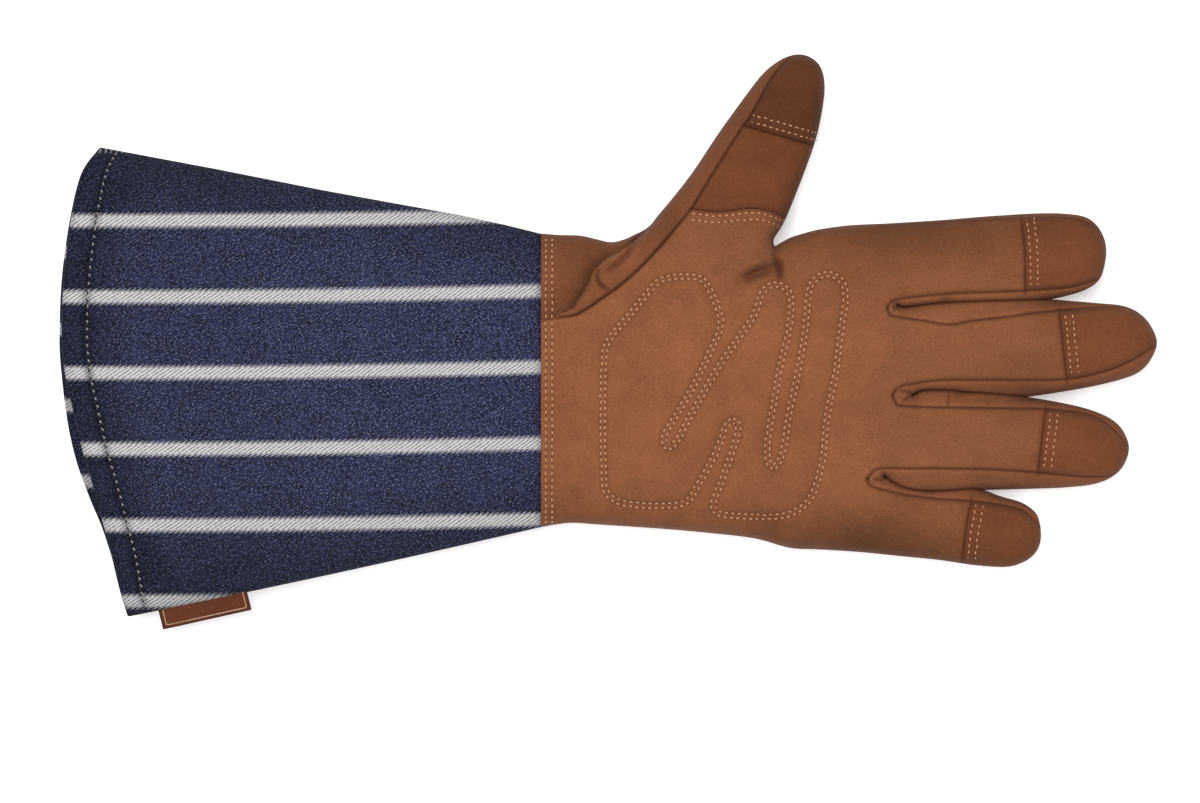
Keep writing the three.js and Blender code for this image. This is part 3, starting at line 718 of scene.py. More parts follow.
def twill_group():
    """Stiff denim: diagonal twill, pale flecks in the dark yarn, and white stripes along the cloth,
    darkened by painted shade and by the Dim value.
    """
    tree, given, out = node_group(
        "Striped twill",
        [("Along", "NodeSocketFloat", 0.0), ("Across", "NodeSocketFloat", 0.0),
         ("Navy", "NodeSocketColor", (0.03, 0.04, 0.09, 1)),
         ("White", "NodeSocketColor", (0.5, 0.5, 0.5, 1)),
         ("Fleck", "NodeSocketColor", (0.3, 0.3, 0.4, 1)),
         ("Seam", "NodeSocketFloat", 0.0), ("Dim", "NodeSocketFloat", 0.0)],
        [("Colour", "NodeSocketColor"), ("Height", "NodeSocketFloat")])
    along, across = given.outputs["Along"], given.outputs["Across"]
    flat = tree.nodes.new("ShaderNodeCombineXYZ")
    feed(tree, along, flat.inputs["X"])
    feed(tree, across, flat.inputs["Y"])
    wander = swing(tree, noise(tree, flat.outputs[0], 55, 2), TWILL_WANDER * MM)
    line = math_node(tree, "SUBTRACT", across, math_node(tree, "MULTIPLY", along, TWILL_SLOPE))
    line = math_node(tree, "ADD", line, wander)
    twill = math_node(tree, "SINE", math_node(tree, "MULTIPLY", line, 2 * math.pi / (TWILL_STEP * MM)))
    stretched = tree.nodes.new("ShaderNodeMapping")
    stretched.inputs["Scale"].default_value = (0.8, 1.0, 1.0)
    stretched.inputs["Rotation"].default_value = (0, 0, -0.6)
    feed(tree, flat.outputs[0], stretched.inputs["Vector"])
    fleck = noise(tree, stretched.outputs[0], 1600, 3, 0.7)
    slub = noise(tree, flat.outputs[0], 130, 4, 0.65)
    pale = ramp(tree, math_node(tree, "ADD", math_node(tree, "MULTIPLY", twill, 0.02), fleck), 0.5, 0.68)
    navy = mixed(tree, 1.0, given.outputs["Navy"], ramp(tree, slub, 0.3, 0.7, 0.7, 1.25), "MULTIPLY")
    mottle = ramp(tree, noise(tree, flat.outputs[0], 700, 2, 0.6), 0.35, 0.65, 0.5, 1.2)
    navy = mixed(tree, 1.0, navy, mottle, "MULTIPLY")
    navy = mixed(tree, math_node(tree, "MULTIPLY", pale, 0.6), navy, given.outputs["Fleck"])
    # Dim darkens the navy: painted shade at the cuff's sides and inside, and a darkening towards the mouth
    navy = mixed(tree, 1.0, navy, math_node(tree, "SUBTRACT", 1.0, given.outputs["Dim"]), "MULTIPLY")
    valley = ramp(tree, math_node(tree, "ADD", twill, swing(tree, fleck, 4.0)), -1.3, 0.25, 0.8, 0.0)
    white = mixed(tree, valley, given.outputs["White"], given.outputs["Navy"])
    repeat = math_node(tree, "SUBTRACT", across, (STRIPE_CENTRE + FAR_STRIPES * STRIPE_REPEAT) * MM)
    repeat = math_node(tree, "PINGPONG", repeat, STRIPE_REPEAT * MM / 2)
    teeth = math_node(tree, "MULTIPLY", twill, STRIPE_TEETH * MM)
    fray = math_node(tree, "ADD", swing(tree, fleck, STRIPE_FRAY * MM), teeth)
    inner, outer = (STRIPE_WIDTH / 2 - STRIPE_EDGE) * MM, (STRIPE_WIDTH / 2 + STRIPE_EDGE) * MM
    stripe = ramp(tree, math_node(tree, "ADD", repeat, fray), inner, outer, 1.0, 0.0)
    cloth = mixed(tree, stripe, navy, white)
    # Painted shade: the cloth darkened towards its shade as the painted shade value rises
    dark = mixed(tree, 1.0, cloth, (0.25, 0.25, 0.3, 1.0), "MULTIPLY")
    feed(tree, mixed(tree, given.outputs["Seam"], cloth, dark), out.inputs["Colour"])
    feed(tree, math_node(tree, "ADD", math_node(tree, "MULTIPLY", twill, 0.5), fleck), out.inputs["Height"])
    return tree


NAP = nap_group()
TWILL = twill_group()


def material(name):
    """A new material, its nodes and its shader."""
    made = bpy.data.materials.new(name)
    made.use_nodes = True
    return made, made.node_tree, made.node_tree.nodes["Principled BSDF"]


def bump(tree, height, shader, distance, strength):
    """A height as small unevenness of the shader's surface, its distance in millimetres."""
    node = tree.nodes.new("ShaderNodeBump")
    node.inputs["Distance"].default_value = distance * MM
    node.inputs["Strength"].default_value = strength
    feed(tree, height, node.inputs["Height"])
    feed(tree, node.outputs["Normal"], shader.inputs["Normal"])


def attribute(tree, name):
    """A value that the vertices carry."""
    node = tree.nodes.new("ShaderNodeAttribute")
    node.attribute_name = name
    return node.outputs["Fac"]


def brushed_leather(name, colour, deep):
    """Matt leather with a brushed nap, taken to its deep colour by painted shade in seams and under edges.
    """
    made, tree, shader = material(name)
    nap = tree.nodes.new("ShaderNodeGroup")
    nap.node_tree = NAP
    feed(tree, tree.nodes.new("ShaderNodeTexCoord").outputs["Object"], nap.inputs["Place"])
    nap.inputs["Colour"].default_value = colour
    nap.inputs["Shade colour"].default_value = deep
    # The vertices carry painted shade as sewn and as dim, with painted highlight where dim is negative
    feed(tree, attribute(tree, "sewn"), nap.inputs["Seam"])
    feed(tree, attribute(tree, "dim"), nap.inputs["Dim"])
    feed(tree, nap.outputs["Colour"], shader.inputs["Base Color"])
    feed(tree, nap.outputs["Roughness"], shader.inputs["Roughness"])
    shader.inputs["Specular IOR Level"].default_value = 0.1
    shader.inputs["Sheen Weight"].default_value = 0.04
    shader.inputs["Sheen Roughness"].default_value = 0.5
    bump(tree, nap.outputs["Height"], shader, 0.12, 0.55)
    return made


def striped_denim(name, navy, white, fleck):
    """Dull striped cloth, laid by the flat cloth's own coordinates."""
    made, tree, shader = material(name)
    twill = tree.nodes.new("ShaderNodeGroup")
    twill.node_tree = TWILL
    cloth = tree.nodes.new("ShaderNodeUVMap")
    cloth.uv_map = "cloth"
    split = tree.nodes.new("ShaderNodeSeparateXYZ")
    feed(tree, cloth.outputs["UV"], split.inputs[0])
    feed(tree, split.outputs["X"], twill.inputs["Along"])
    feed(tree, split.outputs["Y"], twill.inputs["Across"])
    twill.inputs["Navy"].default_value = navy
    twill.inputs["White"].default_value = white
    twill.inputs["Fleck"].default_value = fleck
    # The vertices carry painted shade as sewn, and painted shade with a darkening towards the mouth as dim
    feed(tree, attribute(tree, "sewn"), twill.inputs["Seam"])
    feed(tree, attribute(tree, "dim"), twill.inputs["Dim"])
    feed(tree, twill.outputs["Colour"], shader.inputs["Base Color"])
    shader.inputs["Roughness"].default_value = 0.92
    shader.inputs["Specular IOR Level"].default_value = 0.12
    bump(tree, twill.outputs["Height"], shader, 0.22, 0.7)
    return made


def thread(name, colour, roughness=0.6):
    """Sewing thread with a slightly uneven dye."""
    made, tree, shader = material(name)
    fuzz = noise(tree, tree.nodes.new("ShaderNodeTexCoord").outputs["Object"], 3500, 2)
    dyed = mixed(tree, 1.0, colour, ramp(tree, fuzz, 0.3, 0.7, 0.75, 1.15), "MULTIPLY")
    feed(tree, dyed, shader.inputs["Base Color"])
    shader.inputs["Roughness"].default_value = roughness
    return made


# Each leather's second colour is the colour of its painted shade
PALM_TAN = brushed_leather("palm leather", linear(131, 81, 51), linear(84, 41, 20))
SIDE_TAN = brushed_leather("side leather", linear(133, 82, 53), linear(84, 41, 20))
BACK_TAN = brushed_leather("back leather", linear(124, 75, 47), linear(78, 38, 18))
TIP_TAN = brushed_leather("patch leather", linear(119, 70, 42), linear(74, 34, 15))
# The thumb's leathers are darker than the palm's, in part as painted shade where the thumb falls away from
# the light
THUMB_TAN = brushed_leather("thumb leather", linear(109, 63, 37), linear(72, 34, 16))
THUMB_SIDE = brushed_leather("thumb side leather", linear(118, 71, 44), linear(72, 34, 16))
THUMB_TIP = brushed_leather("thumb patch leather", linear(94, 53, 31), linear(58, 28, 13))
DENIM_CLOTH = striped_denim("cuff denim", linear(34, 38, 64), linear(192, 192, 192), linear(128, 134, 160))
TAB_LEATHER = brushed_leather("tab leather", linear(92, 50, 33), linear(44, 20, 11))
TAN_THREAD = thread("tan thread", linear(192, 142, 106))
CREAM_THREAD = thread("cream thread", linear(206, 170, 142))
DARK_THREAD = thread("navy thread", linear(24, 24, 34))
PALE_THREAD = thread("pale thread", linear(150, 148, 146))
# Dark beads of painted shade where the needle's holes are
HOLE_SHADE = thread("needle holes", linear(92, 50, 28), 0.9)


def dress(thing, finish):
    """Give a piece its finish."""
    thing.data.materials.append(finish)
    return thing


# The hand's leather
WRIST_EDGE = evenly(np.array([HAND_LINE[-1], HAND_LINE[0]]), FINE)
HAND_RING = np.vstack([HAND_LINE, WRIST_EDGE[1:-1]])
SEAM_ROWS = [0.3, 0.7, 1.3, 2.0]
TOP_LINES = [(slit, [0.35, 0.8, 1.4]) for slit in SLITS]
TOP_LINES += [(line, [0.35, 0.8]) for line, _, _ in GROOVE_LINES]
TOP_LINES += [(seam, SEAM_ROWS) for seam in FINGER_SEAMS + [THUMB_LINE, ROLL_LINE]]
TOP_LINES += [(INDEX_TOP_LINE, [0.6])]
TOP_LINES += [(line, [0.5]) for line in LAID_EDGES]
TOP_LINES += [(PAD_LINE, [0.45, 0.9, 1.35, 2.0])]
top_plan, top_faces = triangles(HAND_RING, TOP_LINES, FINE)
low_plan, low_faces = triangles(HAND_RING, [(line, []) for line in SLITS + FINGER_SEAMS], PLAIN)


def facing(plan, faces, up):
    """The triangles turned to face up, or down."""
    a, b, c = (plan[faces[:, k]] for k in range(3))
    turn = (b[:, 0] - a[:, 0]) * (c[:, 1] - a[:, 1]) - (b[:, 1] - a[:, 1]) * (c[:, 0] - a[:, 0])
    wrong = (turn < 0) if up else (turn > 0)
    faces = faces.copy()
    faces[wrong] = faces[wrong][:, ::-1]
    return faces


top_faces = facing(top_plan, top_faces, True)
low_faces = facing(low_plan, low_faces, False)
top_height = upper_side(top_plan)
low_height = lower_side(low_plan)
SEAM_RIDGE = 0.7     # how far the finger seams stand into the underside
for seam in FINGER_SEAMS:
    low_height += SEAM_RIDGE * close_to(low_plan, seam, 1.0)
on_rim = nearest(top_plan, HAND_LINE, 3)[0] < 0.01
top_height = np.where(on_rim, lower_side(top_plan), top_height)
top_skin = np.column_stack([top_plan, top_height])
low_skin = np.column_stack([low_plan, low_height])


THUMB_FOOT = (54.6, 42.0)
THUMB_WAY = (0.4365, 0.8998)


def zone_of(middle, on_top):
    """The piece that each triangle belongs to, by its middle in plan."""
    x, y = middle[:, 0], middle[:, 1]
    zone = np.full(len(middle), "back_panel", dtype=object)
    front = inside(middle, FRONT)
    between = ~front & (x > 105) & (y < 44)
    zone[between & (y > 14)] = "fourchette_index_middle"
    zone[between & (y <= 14) & (y > -14)] = "fourchette_middle_ring"
    zone[between & (y <= -14) & (y > -50)] = "fourchette_ring_little"
    if not on_top:
        up_thumb = (x - THUMB_FOOT[0]) * THUMB_WAY[0] + (y - THUMB_FOOT[1]) * THUMB_WAY[1]
        zone[(up_thumb > 8) & (x < 98) & (y > 40)] = "thumb_back"
        return zone
    zone[~front & (x < 100) & (y > 15)] = "thumb_back"
    zone[inside(middle, WRIST_WRAP) & ~front] = "back_panel"
    zone[front] = "palm_panel"
    zone[front & inside(middle, THUMB_ZONE)] = "thumb_front"
    for finger, line in PATCH_LINES.items():
        zone[front & inside(middle, beyond(line))] = "tip_patch_" + finger
    return zone


top_zone = zone_of(top_plan[top_faces].mean(axis=1), True)
low_zone = zone_of(low_plan[low_faces].mean(axis=1), False)
PATCH_LIFT = 0.9     # how high a patch lies on the leather
PATCH_ROWS = (1.9, 4.4)
BASE_ROWS = (1.4, 3.6)
PATCH_CUT = 1.5      # how far the cut edges of patches and of panels go down
PANEL_CUT = 1.6


def sunk(plan, line, rows):
    """How far stitches pull the rows beside a line into the leather."""
    gap = nearest(plan, line, 9)[0]
    return sum(0.3 * np.exp(-((gap - row) / 0.6) ** 2) for row in rows)


def lifted(name, verts):
    """Where a piece lies on another, or under it: its own height."""
    verts = verts.copy()
    plan = verts[:, :2]
    if name.startswith("tip_patch"):
        edges = FINGER_SEAMS + [THUMB_LINE, HAND_LINE]
        sewn = np.minimum.reduce([nearest(plan, edge, 3)[0] for edge in edges])
        verts[:, 2] += PATCH_LIFT * (0.25 + 0.75 * ease(sewn, 0.3, 2.2))
        verts[:, 2] -= sunk(plan, PATCH_LINES[name.split("_")[-1]], PATCH_ROWS)
    if name == "thumb_front":
        verts[:, 2] -= 0.9 * np.exp(-(nearest(plan, BASE_LINE, 10)[0] / 5.0) ** 2)
    if name == "palm_panel":
        verts[:, 2] -= sunk(plan, BASE_LINE, BASE_ROWS)
    return verts


def painted_shade(plan):
    """Painted shade on the leather: in seams, gaps and grooves, along sunk rows, under edges and at the
    outline.
    """
    shades = [0.6 * close_to(plan, seam, 0.42) for seam in FINGER_SEAMS + [THUMB_LINE]]
    shades.append(0.7 * close_to(plan, INDEX_TOP_LINE, 0.6))
    for slit in SLITS:
        gap, along, _, _ = nearest(plan, slit, 5)
        end = ease(along, along.max() - 3, along.max())
        shades.append((0.8 + 0.2 * end) * np.exp(-gap / (0.45 + 0.35 * end)))
    shades += [min(0.3 + 0.2 / wide, 0.7) * close_to(plan, line, wide) for line, _, wide in GROOVE_LINES]
    shades += [0.85 * np.exp(-nearest(plan, line, 4)[0] / 0.55) for line in LAID_EDGES]
    shades.append(0.25 * close_to(plan, PAD_LINE, 0.5, PAD_ROWS))
    shades.append(0.15 * np.exp(-nearest(plan, HAND_LINE, 6)[0]))
    return np.maximum.reduce(shades)


# Soft patches, mostly painted shade, and painted highlight where negative: centre, reach along x and along
# y, and how much darker
LIGHT_AND_SHADE_PATCHES = [
    (135.0, 50.0, 40.0, 12.0, 0.26), (122.0, -59.0, 32.0, 13.0, 0.29), (150.0, -6.0, 45.0, 30.0, 0.06),
    (76.0, 37.6, 5.0, 2.4, 0.16), (70.5, 36.0, 5.5, 2.6, 0.12), (81.0, 37.5, 1.3, 3.0, 0.3),
    (104.0, -54.0, 20.0, 9.0, 0.12), (78.0, -53.0, 5.0, 6.0, 0.12), (72.0, 76.5, 6.0, 3.5, 0.17),
    (78.0, 69.0, 6.0, 5.0, -0.06), (82.0, 98.0, 6.0, 6.0, 0.10), (27.0, 43.5, 9.0, 8.0, -0.34),
    (5.0, -10.0, 9.0, 40.0, 0.06), (144.0, -4.5, 2.6, 1.8, 0.35), (139.0, 28.5, 2.2, 1.5, 0.30),
    (133.0, -38.5, 2.2, 1.6, 0.25), (55.0, 48.0, 9.0, 9.0, 0.06),
]


def dimmed(plan):
    """How much painted shade darkens the leather: towards the outline, beside the thumb's roll and in soft
    patches, which paint highlight where negative.
    """
    outline = evenly(HAND_LINE, 3.0)
    gap = np.empty(len(plan))
    for chunk in np.array_split(np.arange(len(plan)), CHUNKS):
        off = plan[chunk][:, None] - outline[None]
        gap[chunk] = np.sqrt((off ** 2).sum(axis=2).min(axis=1))
    # Painted shade towards the outline, where the hand's surface turns away from the light
    dim = 0.30 * np.exp(-gap / 13)
    # Painted shade on the wrist's leather beside the thumb's roll
    roll_gap, along, side, _ = nearest(plan, ROLL_LINE, 30)
    beside_roll = (side < 0) & (roll_gap < 30)
    dim += np.where(beside_roll, 0.5 * np.exp(-roll_gap / 7) * ease(along, 0, 10), 0)
    for x, y, wide, tall, dark in LIGHT_AND_SHADE_PATCHES:
        dim += dark * np.exp(-((plan[:, 0] - x) / wide) ** 2 - ((plan[:, 1] - y) / tall) ** 2)
    return np.minimum(dim, 0.7)


def add_shade(thing, shade, name="sewn"):
    """A value for each vertex that the finish reads."""
    layer = thing.data.attributes.new(name, "FLOAT", "POINT")
    layer.data.foreach_set("value", np.asarray(shade, dtype=np.float32))


HAND_FINISH = {"palm_panel": PALM_TAN, "back_panel": BACK_TAN, "thumb_back": THUMB_SIDE,
               "thumb_front": THUMB_TAN, "tip_patch_thumb": THUMB_TIP}


def hand_leather(name):
    """One panel, strip or patch of the hand, with its share of the underside."""
    verts, faces = only(top_skin, top_faces[top_zone == name])
    verts = lifted(name, verts)
    if name.startswith("tip_patch"):
        verts, faces = walls(verts, faces, [PATCH_LINES[name.split("_")[-1]]], PATCH_CUT)
    if name in ("palm_panel", "back_panel"):
        verts, faces = walls(verts, faces, [BASE_LINE, WRIST_EDGE], PANEL_CUT)
    if (low_zone == name).any():
        below, below_faces = only(low_skin, low_faces[low_zone == name])
        faces = np.vstack([faces, below_faces + len(verts)])
        verts = np.vstack([verts, below])
    thing = piece(name + "_leather", verts, faces)
    # Painted shade in seams, gaps and grooves and under edges, and painted shade and highlight over the
    # leather
    add_shade(thing, painted_shade(verts[:, :2]))
    add_shade(thing, dimmed(verts[:, :2]), "dim")
    finish = HAND_FINISH.get(name, TIP_TAN if name.startswith("tip_patch") else SIDE_TAN)
    dress(thing, finish)
    if name == "palm_panel":
        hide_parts("palm_panel", "palm_pad")
    else:
        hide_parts(name)
    return thing


hand_pieces = {name: hand_leather(name) for name in sorted(set(top_zone))}

# The denim cuff
HEM = 7.7            # the hem's row of stitches, from the mouth's edge
HEM_THICK = 2.4
HEM_FOLD = ((0.35, 0.45), (1.2, 0.75), (2.05, 0.45), (HEM_THICK, 0.0))  # inwards, and past the mouth
BACK_SHIFT = 15.4    # how far the stripes of the lower layer lie from the upper one's
CUFF_ROUND = 260     # points in one ring of the cuff
# How far the cuff's sides stand out from straight lines: on the thumb's side, by ways to the mouth
THUMB_BOW = ((0.0, 0.1, 0.2, 0.35, 0.5, 0.75, 1.0), (0.0, 0.8, 1.1, 0.7, 0.35, 0.4, 0.0))
LITTLE_BOW = 0.6


def hem_width(across):
    """The hem's width, narrower towards both corners of the mouth."""
    return HEM - 1.4 * ease(across, 0.85, 1.0) - 0.8 * ease(-across, 0.7, 1.0)


def side_bow(way, across):
    """How far the cuff's sides stand out from a straight line."""
    thumb_side = np.interp(way, THUMB_BOW[0], THUMB_BOW[1])
    little_side = LITTLE_BOW * np.sin(math.pi * way.clip(0, 1))
    return np.where(across > 0, thumb_side, little_side) * across


def cuff_point(way, across, upper, inset):
    """Points of a layer of the cuff, drawn inside by inset."""
    mouth = across_line(FRONT_LINE if upper else BACK_LINE, across)
    wrist = WRIST_LITTLE + (WRIST_THUMB - WRIST_LITTLE) * ((across + 1) / 2)[:, None]
    plan = wrist + (mouth - wrist) * way[:, None]
    plan[:, 1] += side_bow(way, across) - np.sign(across) * np.abs(across) ** 6 * inset
    high, low = cuff_heights(np.clip(way, 0, 1), across)
    x, y = plan[:, 0], plan[:, 1]
    from_hem = (1 - way) * CUFF_RUN - hem_width(across)
    if upper:
        height = high - inset * (1 - across ** 8)
        fold = 0.5 * np.sin(y / 13.0 + x / 34.0) * ease(way, 0.15, 0.6) + 0.35 * np.sin(x / 21.0 - y / 17.0)
        fold += 0.5 * np.sin(y / 6.5) * np.exp(-way / 0.1)
        pucker = 0.4 * np.sin(y / 1.2 + 0.9 * np.sin(y / 4.1)) * np.exp(-(from_hem / 3.6) ** 2)
        groove = -0.75 * np.exp(-(from_hem / 0.8) ** 2) + 0.5 * ease(-from_hem, 0.4, 2.2)
        height += (fold + pucker + groove) * (1 - across ** 6)
    else:
        height = low + inset * (1 - across ** 8)
    return np.column_stack([plan, height])


# One round of the cuff: its places across, first over the upper layer and then under the lower one
turn = np.linspace(0, 2 * math.pi, CUFF_ROUND, endpoint=False)
across_round = np.sign(np.cos(turn)) * np.abs(np.cos(turn)) ** 0.8
upper_round = np.sin(turn) > -1e-9


def cuff_ring(way, inset, out=0.0):
    """One ring of the cuff's points, over the upper layer and back under the lower one."""
    ways = np.full(CUFF_ROUND, way)
    ring = np.where(upper_round[:, None], cuff_point(ways, across_round, True, inset),
                    cuff_point(ways, across_round, False, inset))
    ring[:, 0] -= out
    return ring


STRIPE_RISE = 1.9    # how far the stripes rise over the run to the wrist, and where they start to
RISE_START = -154.0
RISE_RUN = 144.0
LAST_STRIPE = 2.9    # repeats from the middle stripe up to the plain strip at the thumb's side


def cloth_place(verts, upper):
    """Where a point lies in the flat cloth: along and across its stripes, which rise towards the wrist."""
    across = verts[:, 1] - STRIPE_RISE * (np.maximum(verts[:, 0] - RISE_START, 0) / RISE_RUN) ** 2
    last = STRIPE_CENTRE + LAST_STRIPE * STRIPE_REPEAT
    across = np.where(upper, np.minimum(across, last), across - BACK_SHIFT)
    return np.column_stack([verts[:, 0], across])


def tube(name, rings):
    """A surface through rings of points, with its cloth's own coordinates."""
    count = len(rings)
    verts = np.vstack(rings)
    spot = np.arange(count * CUFF_ROUND).reshape(count, CUFF_ROUND)
    after = np.roll(spot, -1, axis=1)
    faces = np.stack([spot[:-1], spot[1:], after[1:], after[:-1]], axis=2).reshape(-1, 4)
    thing = piece(name, verts, faces)
    upper = np.tile(np.repeat(np.arange(CUFF_ROUND) < CUFF_ROUND // 2, 4), count - 1)
    corners = faces.ravel()
    cloth = thing.data.uv_layers.new(name="cloth")
    cloth.data.foreach_set("uv", (cloth_place(verts[corners], upper) * MM).astype(np.float32).ravel())
    return thing, verts


def outer_denim():
    """The cuff's cloth, from inside the leather to its fold over the mouth's edge."""
    ways = np.concatenate([np.linspace(-LAP / CUFF_RUN, 0.88, 96), np.linspace(0.884, 1.0, 36)])
    rings = [cuff_ring(way, 0) for way in ways]
    rings += [cuff_ring(1.0, inset, out) for inset, out in HEM_FOLD]
    thing, verts = tube("cuff_denim", rings)
    from_rim = np.repeat((1 - np.concatenate([ways, np.ones(len(HEM_FOLD))])) * CUFF_RUN, CUFF_ROUND)
    across = np.tile(across_round, len(rings))
    # Painted shade: a band along the hem's row and at the rim, under the leather's edge, and at the cuff's
    # folded sides
    hem_painted_shade = 0.55 * np.exp(-((from_rim - hem_width(across)) / 1.7) ** 2) + 0.3 * np.exp(-from_rim)
    lap_painted_shade = 0.5 * np.exp(-np.maximum(-verts[:, 0] + WRIST, 0) / 1.5)
    fold_painted_shade = 0.35 * np.abs(across) ** 24
    add_shade(thing, np.minimum(hem_painted_shade + lap_painted_shade + fold_painted_shade, 0.85))
    # Darker towards the mouth, with painted shade towards the cuff's sides where they turn away from the
    # light
    darkened = 0.38 * (1 - ease(from_rim, 7, 24)) + 0.14 * (1 - ease(from_rim, 20, 110))
    darkened += 0.34 * ease(across, 0.6, 0.95) + 0.32 * ease(-across, 0.5, 0.95)
    add_shade(thing, np.minimum(darkened, 0.55), "dim")
    dress(thing, DENIM_CLOTH)
    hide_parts("cuff")
    return thing


def turned_in_hem():
    """The hem's cloth inside the mouth, and behind it the cuff's inside."""
    rings = [cuff_ring(way, HEM_THICK) for way in (1.0, 0.985, 0.965, 0.95)]
    rings += [cuff_ring(0.949, 1.4), cuff_ring(0.94, DENIM)]
    rings += [cuff_ring(way, DENIM) for way in np.linspace(0.92, -LAP / CUFF_RUN, 40)]
    thing, verts = tube("cuff_hem_denim", rings)
    # Painted shade over the whole inside of the cuff
    add_shade(thing, np.full(len(verts), 0.25))
    add_shade(thing, np.full(len(verts), 0.3), "dim")
    dress(thing, DENIM_CLOTH)
    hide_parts("cuff_hem")
    return thing


cuff = outer_denim()
hem = turned_in_hem()

# Stitches: a bead of thread has rings at places along it, each with a fatness and a height
BEAD = ((0, 0.45, -0.2), (0.2, 0.95, 0.06), (0.5, 1.0, 0.14), (0.8, 0.95, 0.06), (1, 0.45, -0.2))
BEAD_SIDES = 5
UNEVEN = 0.07        # how far stitches stray to a side
HOLE_DEPTH = 0.16    # how far the needle's holes lie below the stitches


def beads(starts, ends, sideways, thick, lift):
    """Short beads of thread from starts to ends, each with its own shift sideways."""
    angle = np.linspace(0, 2 * math.pi, BEAD_SIDES, endpoint=False)
    verts, faces = [], []
    for start, end, shift in zip(starts, ends, sideways):
        ahead = end - start
        aside = np.array([-ahead[1], ahead[0], 0]) / max(np.hypot(ahead[0], ahead[1]), 1e-6)
        base = len(verts) * BEAD_SIDES
        round_about = np.cos(angle)[:, None] * aside + np.sin(angle)[:, None] * [0, 0, 1]
        for t, fat, up in BEAD:
            at = start + ahead * t + aside * shift + [0, 0, up + lift]
            verts.append(at + thick * fat * round_about)
        for ring in range(len(BEAD) - 1):
            for side in range(BEAD_SIDES):
                a = base + ring * BEAD_SIDES + side
                b = base + ring * BEAD_SIDES + (side + 1) % BEAD_SIDES
                faces.append((a, b, b + BEAD_SIDES, a + BEAD_SIDES))
        last = base + (len(BEAD) - 1) * BEAD_SIDES
        faces.append(tuple(base + side for side in reversed(range(BEAD_SIDES))))
        faces.append(tuple(last + side for side in range(BEAD_SIDES)))
    return np.vstack(verts), faces


def stitches(name, rows, finish, pitch=2.05, share=0.58, thick=0.28, seed=1, slant=0.0, holes=True):
    """Rows of separate stitches along lines in space, with dark beads of painted shade for the needle's
    holes between them.
    """
    rng = np.random.default_rng(seed)
    starts, ends, gaps = [], [], []
    for row in rows:
        spots = evenly(row, pitch)
        starts.append(spots[:-1])
        ends.append(spots[:-1] + share * np.diff(spots, axis=0))
        gaps.append(spots[1:])
    starts, ends, gaps = np.vstack(starts), np.vstack(ends), np.vstack(gaps)
    starts[:, 0] -= slant
    ends[:, 0] += slant
    jitter = rng.normal(0, UNEVEN, len(starts))
    verts, faces = beads(starts, ends, jitter, thick, 0.0)
    rows_piece = dress(piece(name, verts, faces), finish)
    if holes:
        verts, faces = beads(ends, gaps, jitter, thick, -HOLE_DEPTH)
        dress(piece(name + "_holes", verts, faces), HOLE_SHADE)
    return rows_piece


def trimmed(line, start=0.0, end=0.0):
    """A line without its first and last stretch."""
    way = np.concatenate([[0], np.cumsum(np.linalg.norm(np.diff(line, axis=0), axis=1))])
    return line[(way >= start) & (way <= way[-1] - end)]


def sewn_on(line, name, side=upper_side):
    """A plan line laid on a piece's own surface."""
    return lifted(name, np.column_stack([line, side(line)]))


stitches("pad_stitches", [sewn_on(beside(PAD_LINE, row), "palm_panel") for row in (-PAD_ROWS, PAD_ROWS)],
         TAN_THREAD, pitch=2.25, share=0.63, thick=0.31)
for finger, line in PATCH_LINES.items():
    node = "tip_patch_" + finger
    rows = [sewn_on(trimmed(beside(line, row), 1.8, 1.2), node) for row in PATCH_ROWS]
    stitches("patch_stitches_" + finger, rows, TAN_THREAD, pitch=2.3, seed=4)
base_rows = [sewn_on(trimmed(beside(BASE_LINE, -row), 0.8, 1.8), "palm_panel") for row in BASE_ROWS]
stitches("thumb_base_stitches", base_rows, TAN_THREAD, pitch=2.3)
WRIST_ROWS = (1.7, 3.9)
WRIST_HALF = 50.2
wrist_across = np.linspace(-WRIST_HALF, WRIST_HALF, 60)
wrist_lines = [np.column_stack([np.full(60, WRIST + row), wrist_across]) for row in WRIST_ROWS]
stitches("wrist_stitches", [sewn_on(line, "wrist") for line in wrist_lines],
         TAN_THREAD, pitch=2.4)
stitches("wrist_stitches_back", [sewn_on(line[6:-6], "wrist", lower_side) for line in wrist_lines],
         TAN_THREAD, pitch=2.4, holes=False)
hem_across = np.linspace(0.985, -0.985, 300)
hem_row = cuff_point(1 - hem_width(hem_across) / CUFF_RUN, hem_across, True, 0)
hem_dark_row = stitches("hem_stitches", [hem_row], DARK_THREAD,
                        pitch=2.8, share=0.8, thick=0.36, holes=False)
hem_pale_row = stitches("hem_stitches_light", [hem_row + [0.35, 0.0, 0.24]], PALE_THREAD,
                        pitch=2.8, share=0.4, thick=0.27, seed=7, slant=0.3, holes=False)


# The bare tab in the cuff's side seam
TAB_HEIGHT = 12.2
TAB_THICK = 1.2
TAB_HIDDEN = 0.28    # how much of its own length lies under the cuff
TAB_BORDER = [(0.045, 0.05), (0.045, 0.84), (0.055, 0.865), (0.945, 0.865), (0.955, 0.84), (0.955, 0.05)]


def tab_point(u, v):
    """A place on the tab: u along the seam, v from under the cuff (0) to its free edge (1)."""
    corners = np.array(TAB)
    near = corners[0] * (1 - u) + corners[3] * u
    far = corners[1] * (1 - u) + corners[2] * u
    at = near + (far - near) * (v * (1 + TAB_HIDDEN) - TAB_HIDDEN)
    return np.array([at[0], at[1], TAB_HEIGHT - 1.6 * v + 0.35 * math.sin(u * 7)])


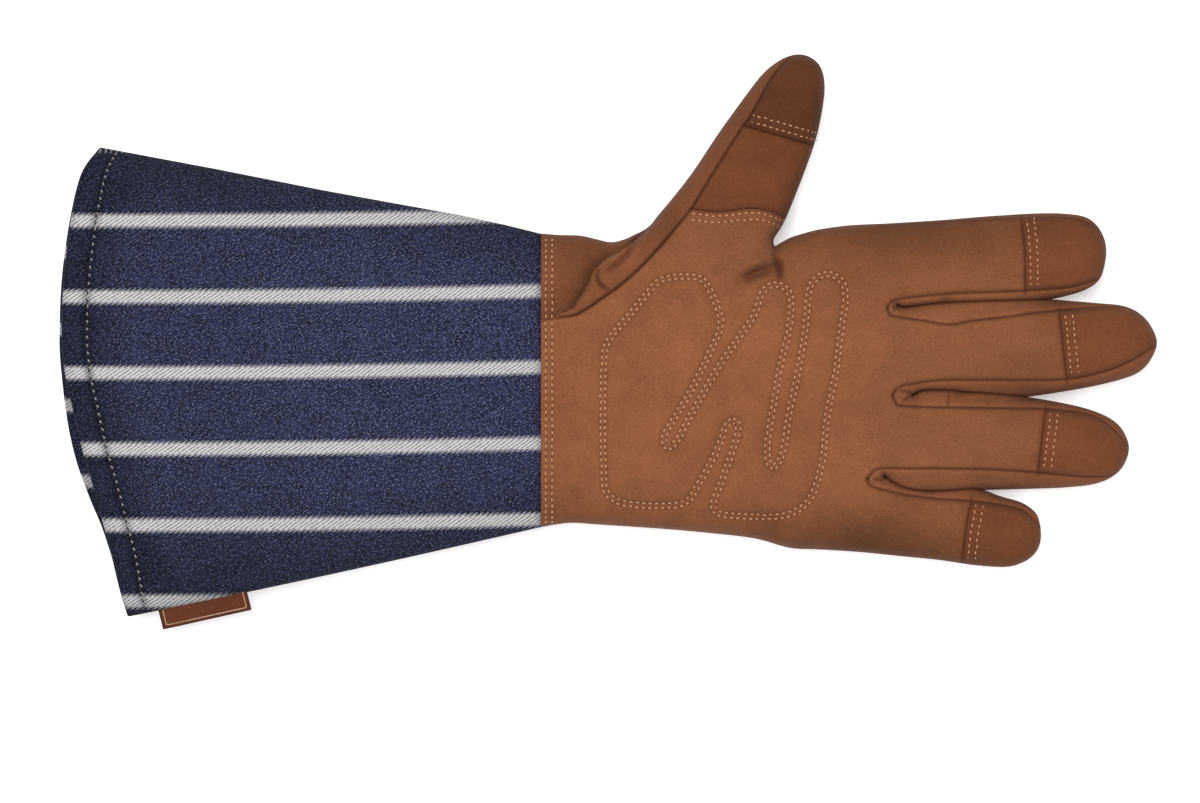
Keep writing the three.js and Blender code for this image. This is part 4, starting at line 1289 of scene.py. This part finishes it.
def side_tab():
    """A leather tab with a plain sewn border."""
    rows, columns = 9, 22
    verts = [tab_point(c / (columns - 1), r / (rows - 1)) for r in range(rows) for c in range(columns)]
    faces = [(r * columns + c, r * columns + c + 1, (r + 1) * columns + c + 1, (r + 1) * columns + c)
             for r in range(rows - 1) for c in range(columns - 1)]
    tab = piece("side_tab", verts, faces)
    thick = tab.modifiers.new("thickness", "SOLIDIFY")
    thick.thickness = TAB_THICK * MM
    thick.offset = 0
    edge = [min(c, columns - 1 - c, r, rows - 1 - r) for r in range(rows) for c in range(columns)]
    # Darker along the tab's outer edge
    add_shade(tab, [0.3 if e == 0 else 0.0 for e in edge])
    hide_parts("label_tab")
    dress(tab, TAB_LEATHER)
    border = evenly(np.array([tab_point(u, v) + [0, 0, TAB_THICK / 2] for u, v in TAB_BORDER]), 0.8)
    verts, faces = beads(border[:-1], border[1:], np.zeros(len(border) - 1), 0.22, 0.0)
    dress(piece("tab_border", verts, faces), CREAM_THREAD)


side_tab()


# Floor, light and camera
FLOOR_GLOW = 0.42
ROOM_LIGHT = 0.5
# Each lamp's name, place, size and power
LAMPS = [("key", (-0.3, 0.35, 1.25), 0.8, 13.5), ("fill", (0.6, -0.7, 1.1), 0.8, 5.0)]


def floor_light_camera():
    """A pale glowing floor, two lamps in a pale room, and the camera straight above."""
    scene = bpy.context.scene
    plane = bpy.data.meshes.new("floor")
    plane.from_pydata([(-3, -3, 0), (3, -3, 0), (3, 3, 0), (-3, 3, 0)], [], [(0, 1, 2, 3)])
    floor = bpy.data.objects.new("floor", plane)
    scene.collection.objects.link(floor)
    pale, _, shader = material("pale floor")
    shader.inputs["Base Color"].default_value = (0.9, 0.9, 0.9, 1)
    shader.inputs["Roughness"].default_value = 0.8
    shader.inputs["Emission Color"].default_value = (1, 1, 1, 1)
    shader.inputs["Emission Strength"].default_value = FLOOR_GLOW
    floor.data.materials.append(pale)
    world = bpy.data.worlds.new("pale room")
    scene.world = world
    world.use_nodes = True
    background = world.node_tree.nodes["Background"]
    background.inputs["Color"].default_value = (1, 1, 1, 1)
    background.inputs["Strength"].default_value = ROOM_LIGHT
    scene.view_settings.view_transform = "Standard"
    for name, place, size, power in LAMPS:
        lamp = bpy.data.lights.new(name, "AREA")
        lamp.shape = "DISK"
        lamp.size = size
        lamp.energy = power
        light = bpy.data.objects.new(name, lamp)
        light.location = place
        light.rotation_euler = (-Vector(place)).to_track_quat("-Z", "Y").to_euler()
        scene.collection.objects.link(light)
    camera = bpy.data.cameras.new("camera")
    camera.lens = LENS
    camera.sensor_width = SENSOR
    camera.clip_end = 20
    view = bpy.data.objects.new("camera", camera)
    view.location = (CAMERA_AT[0] * MM, CAMERA_AT[1] * MM, CAMERA_HEIGHT * MM)
    scene.collection.objects.link(view)
    scene.camera = view


floor_light_camera()
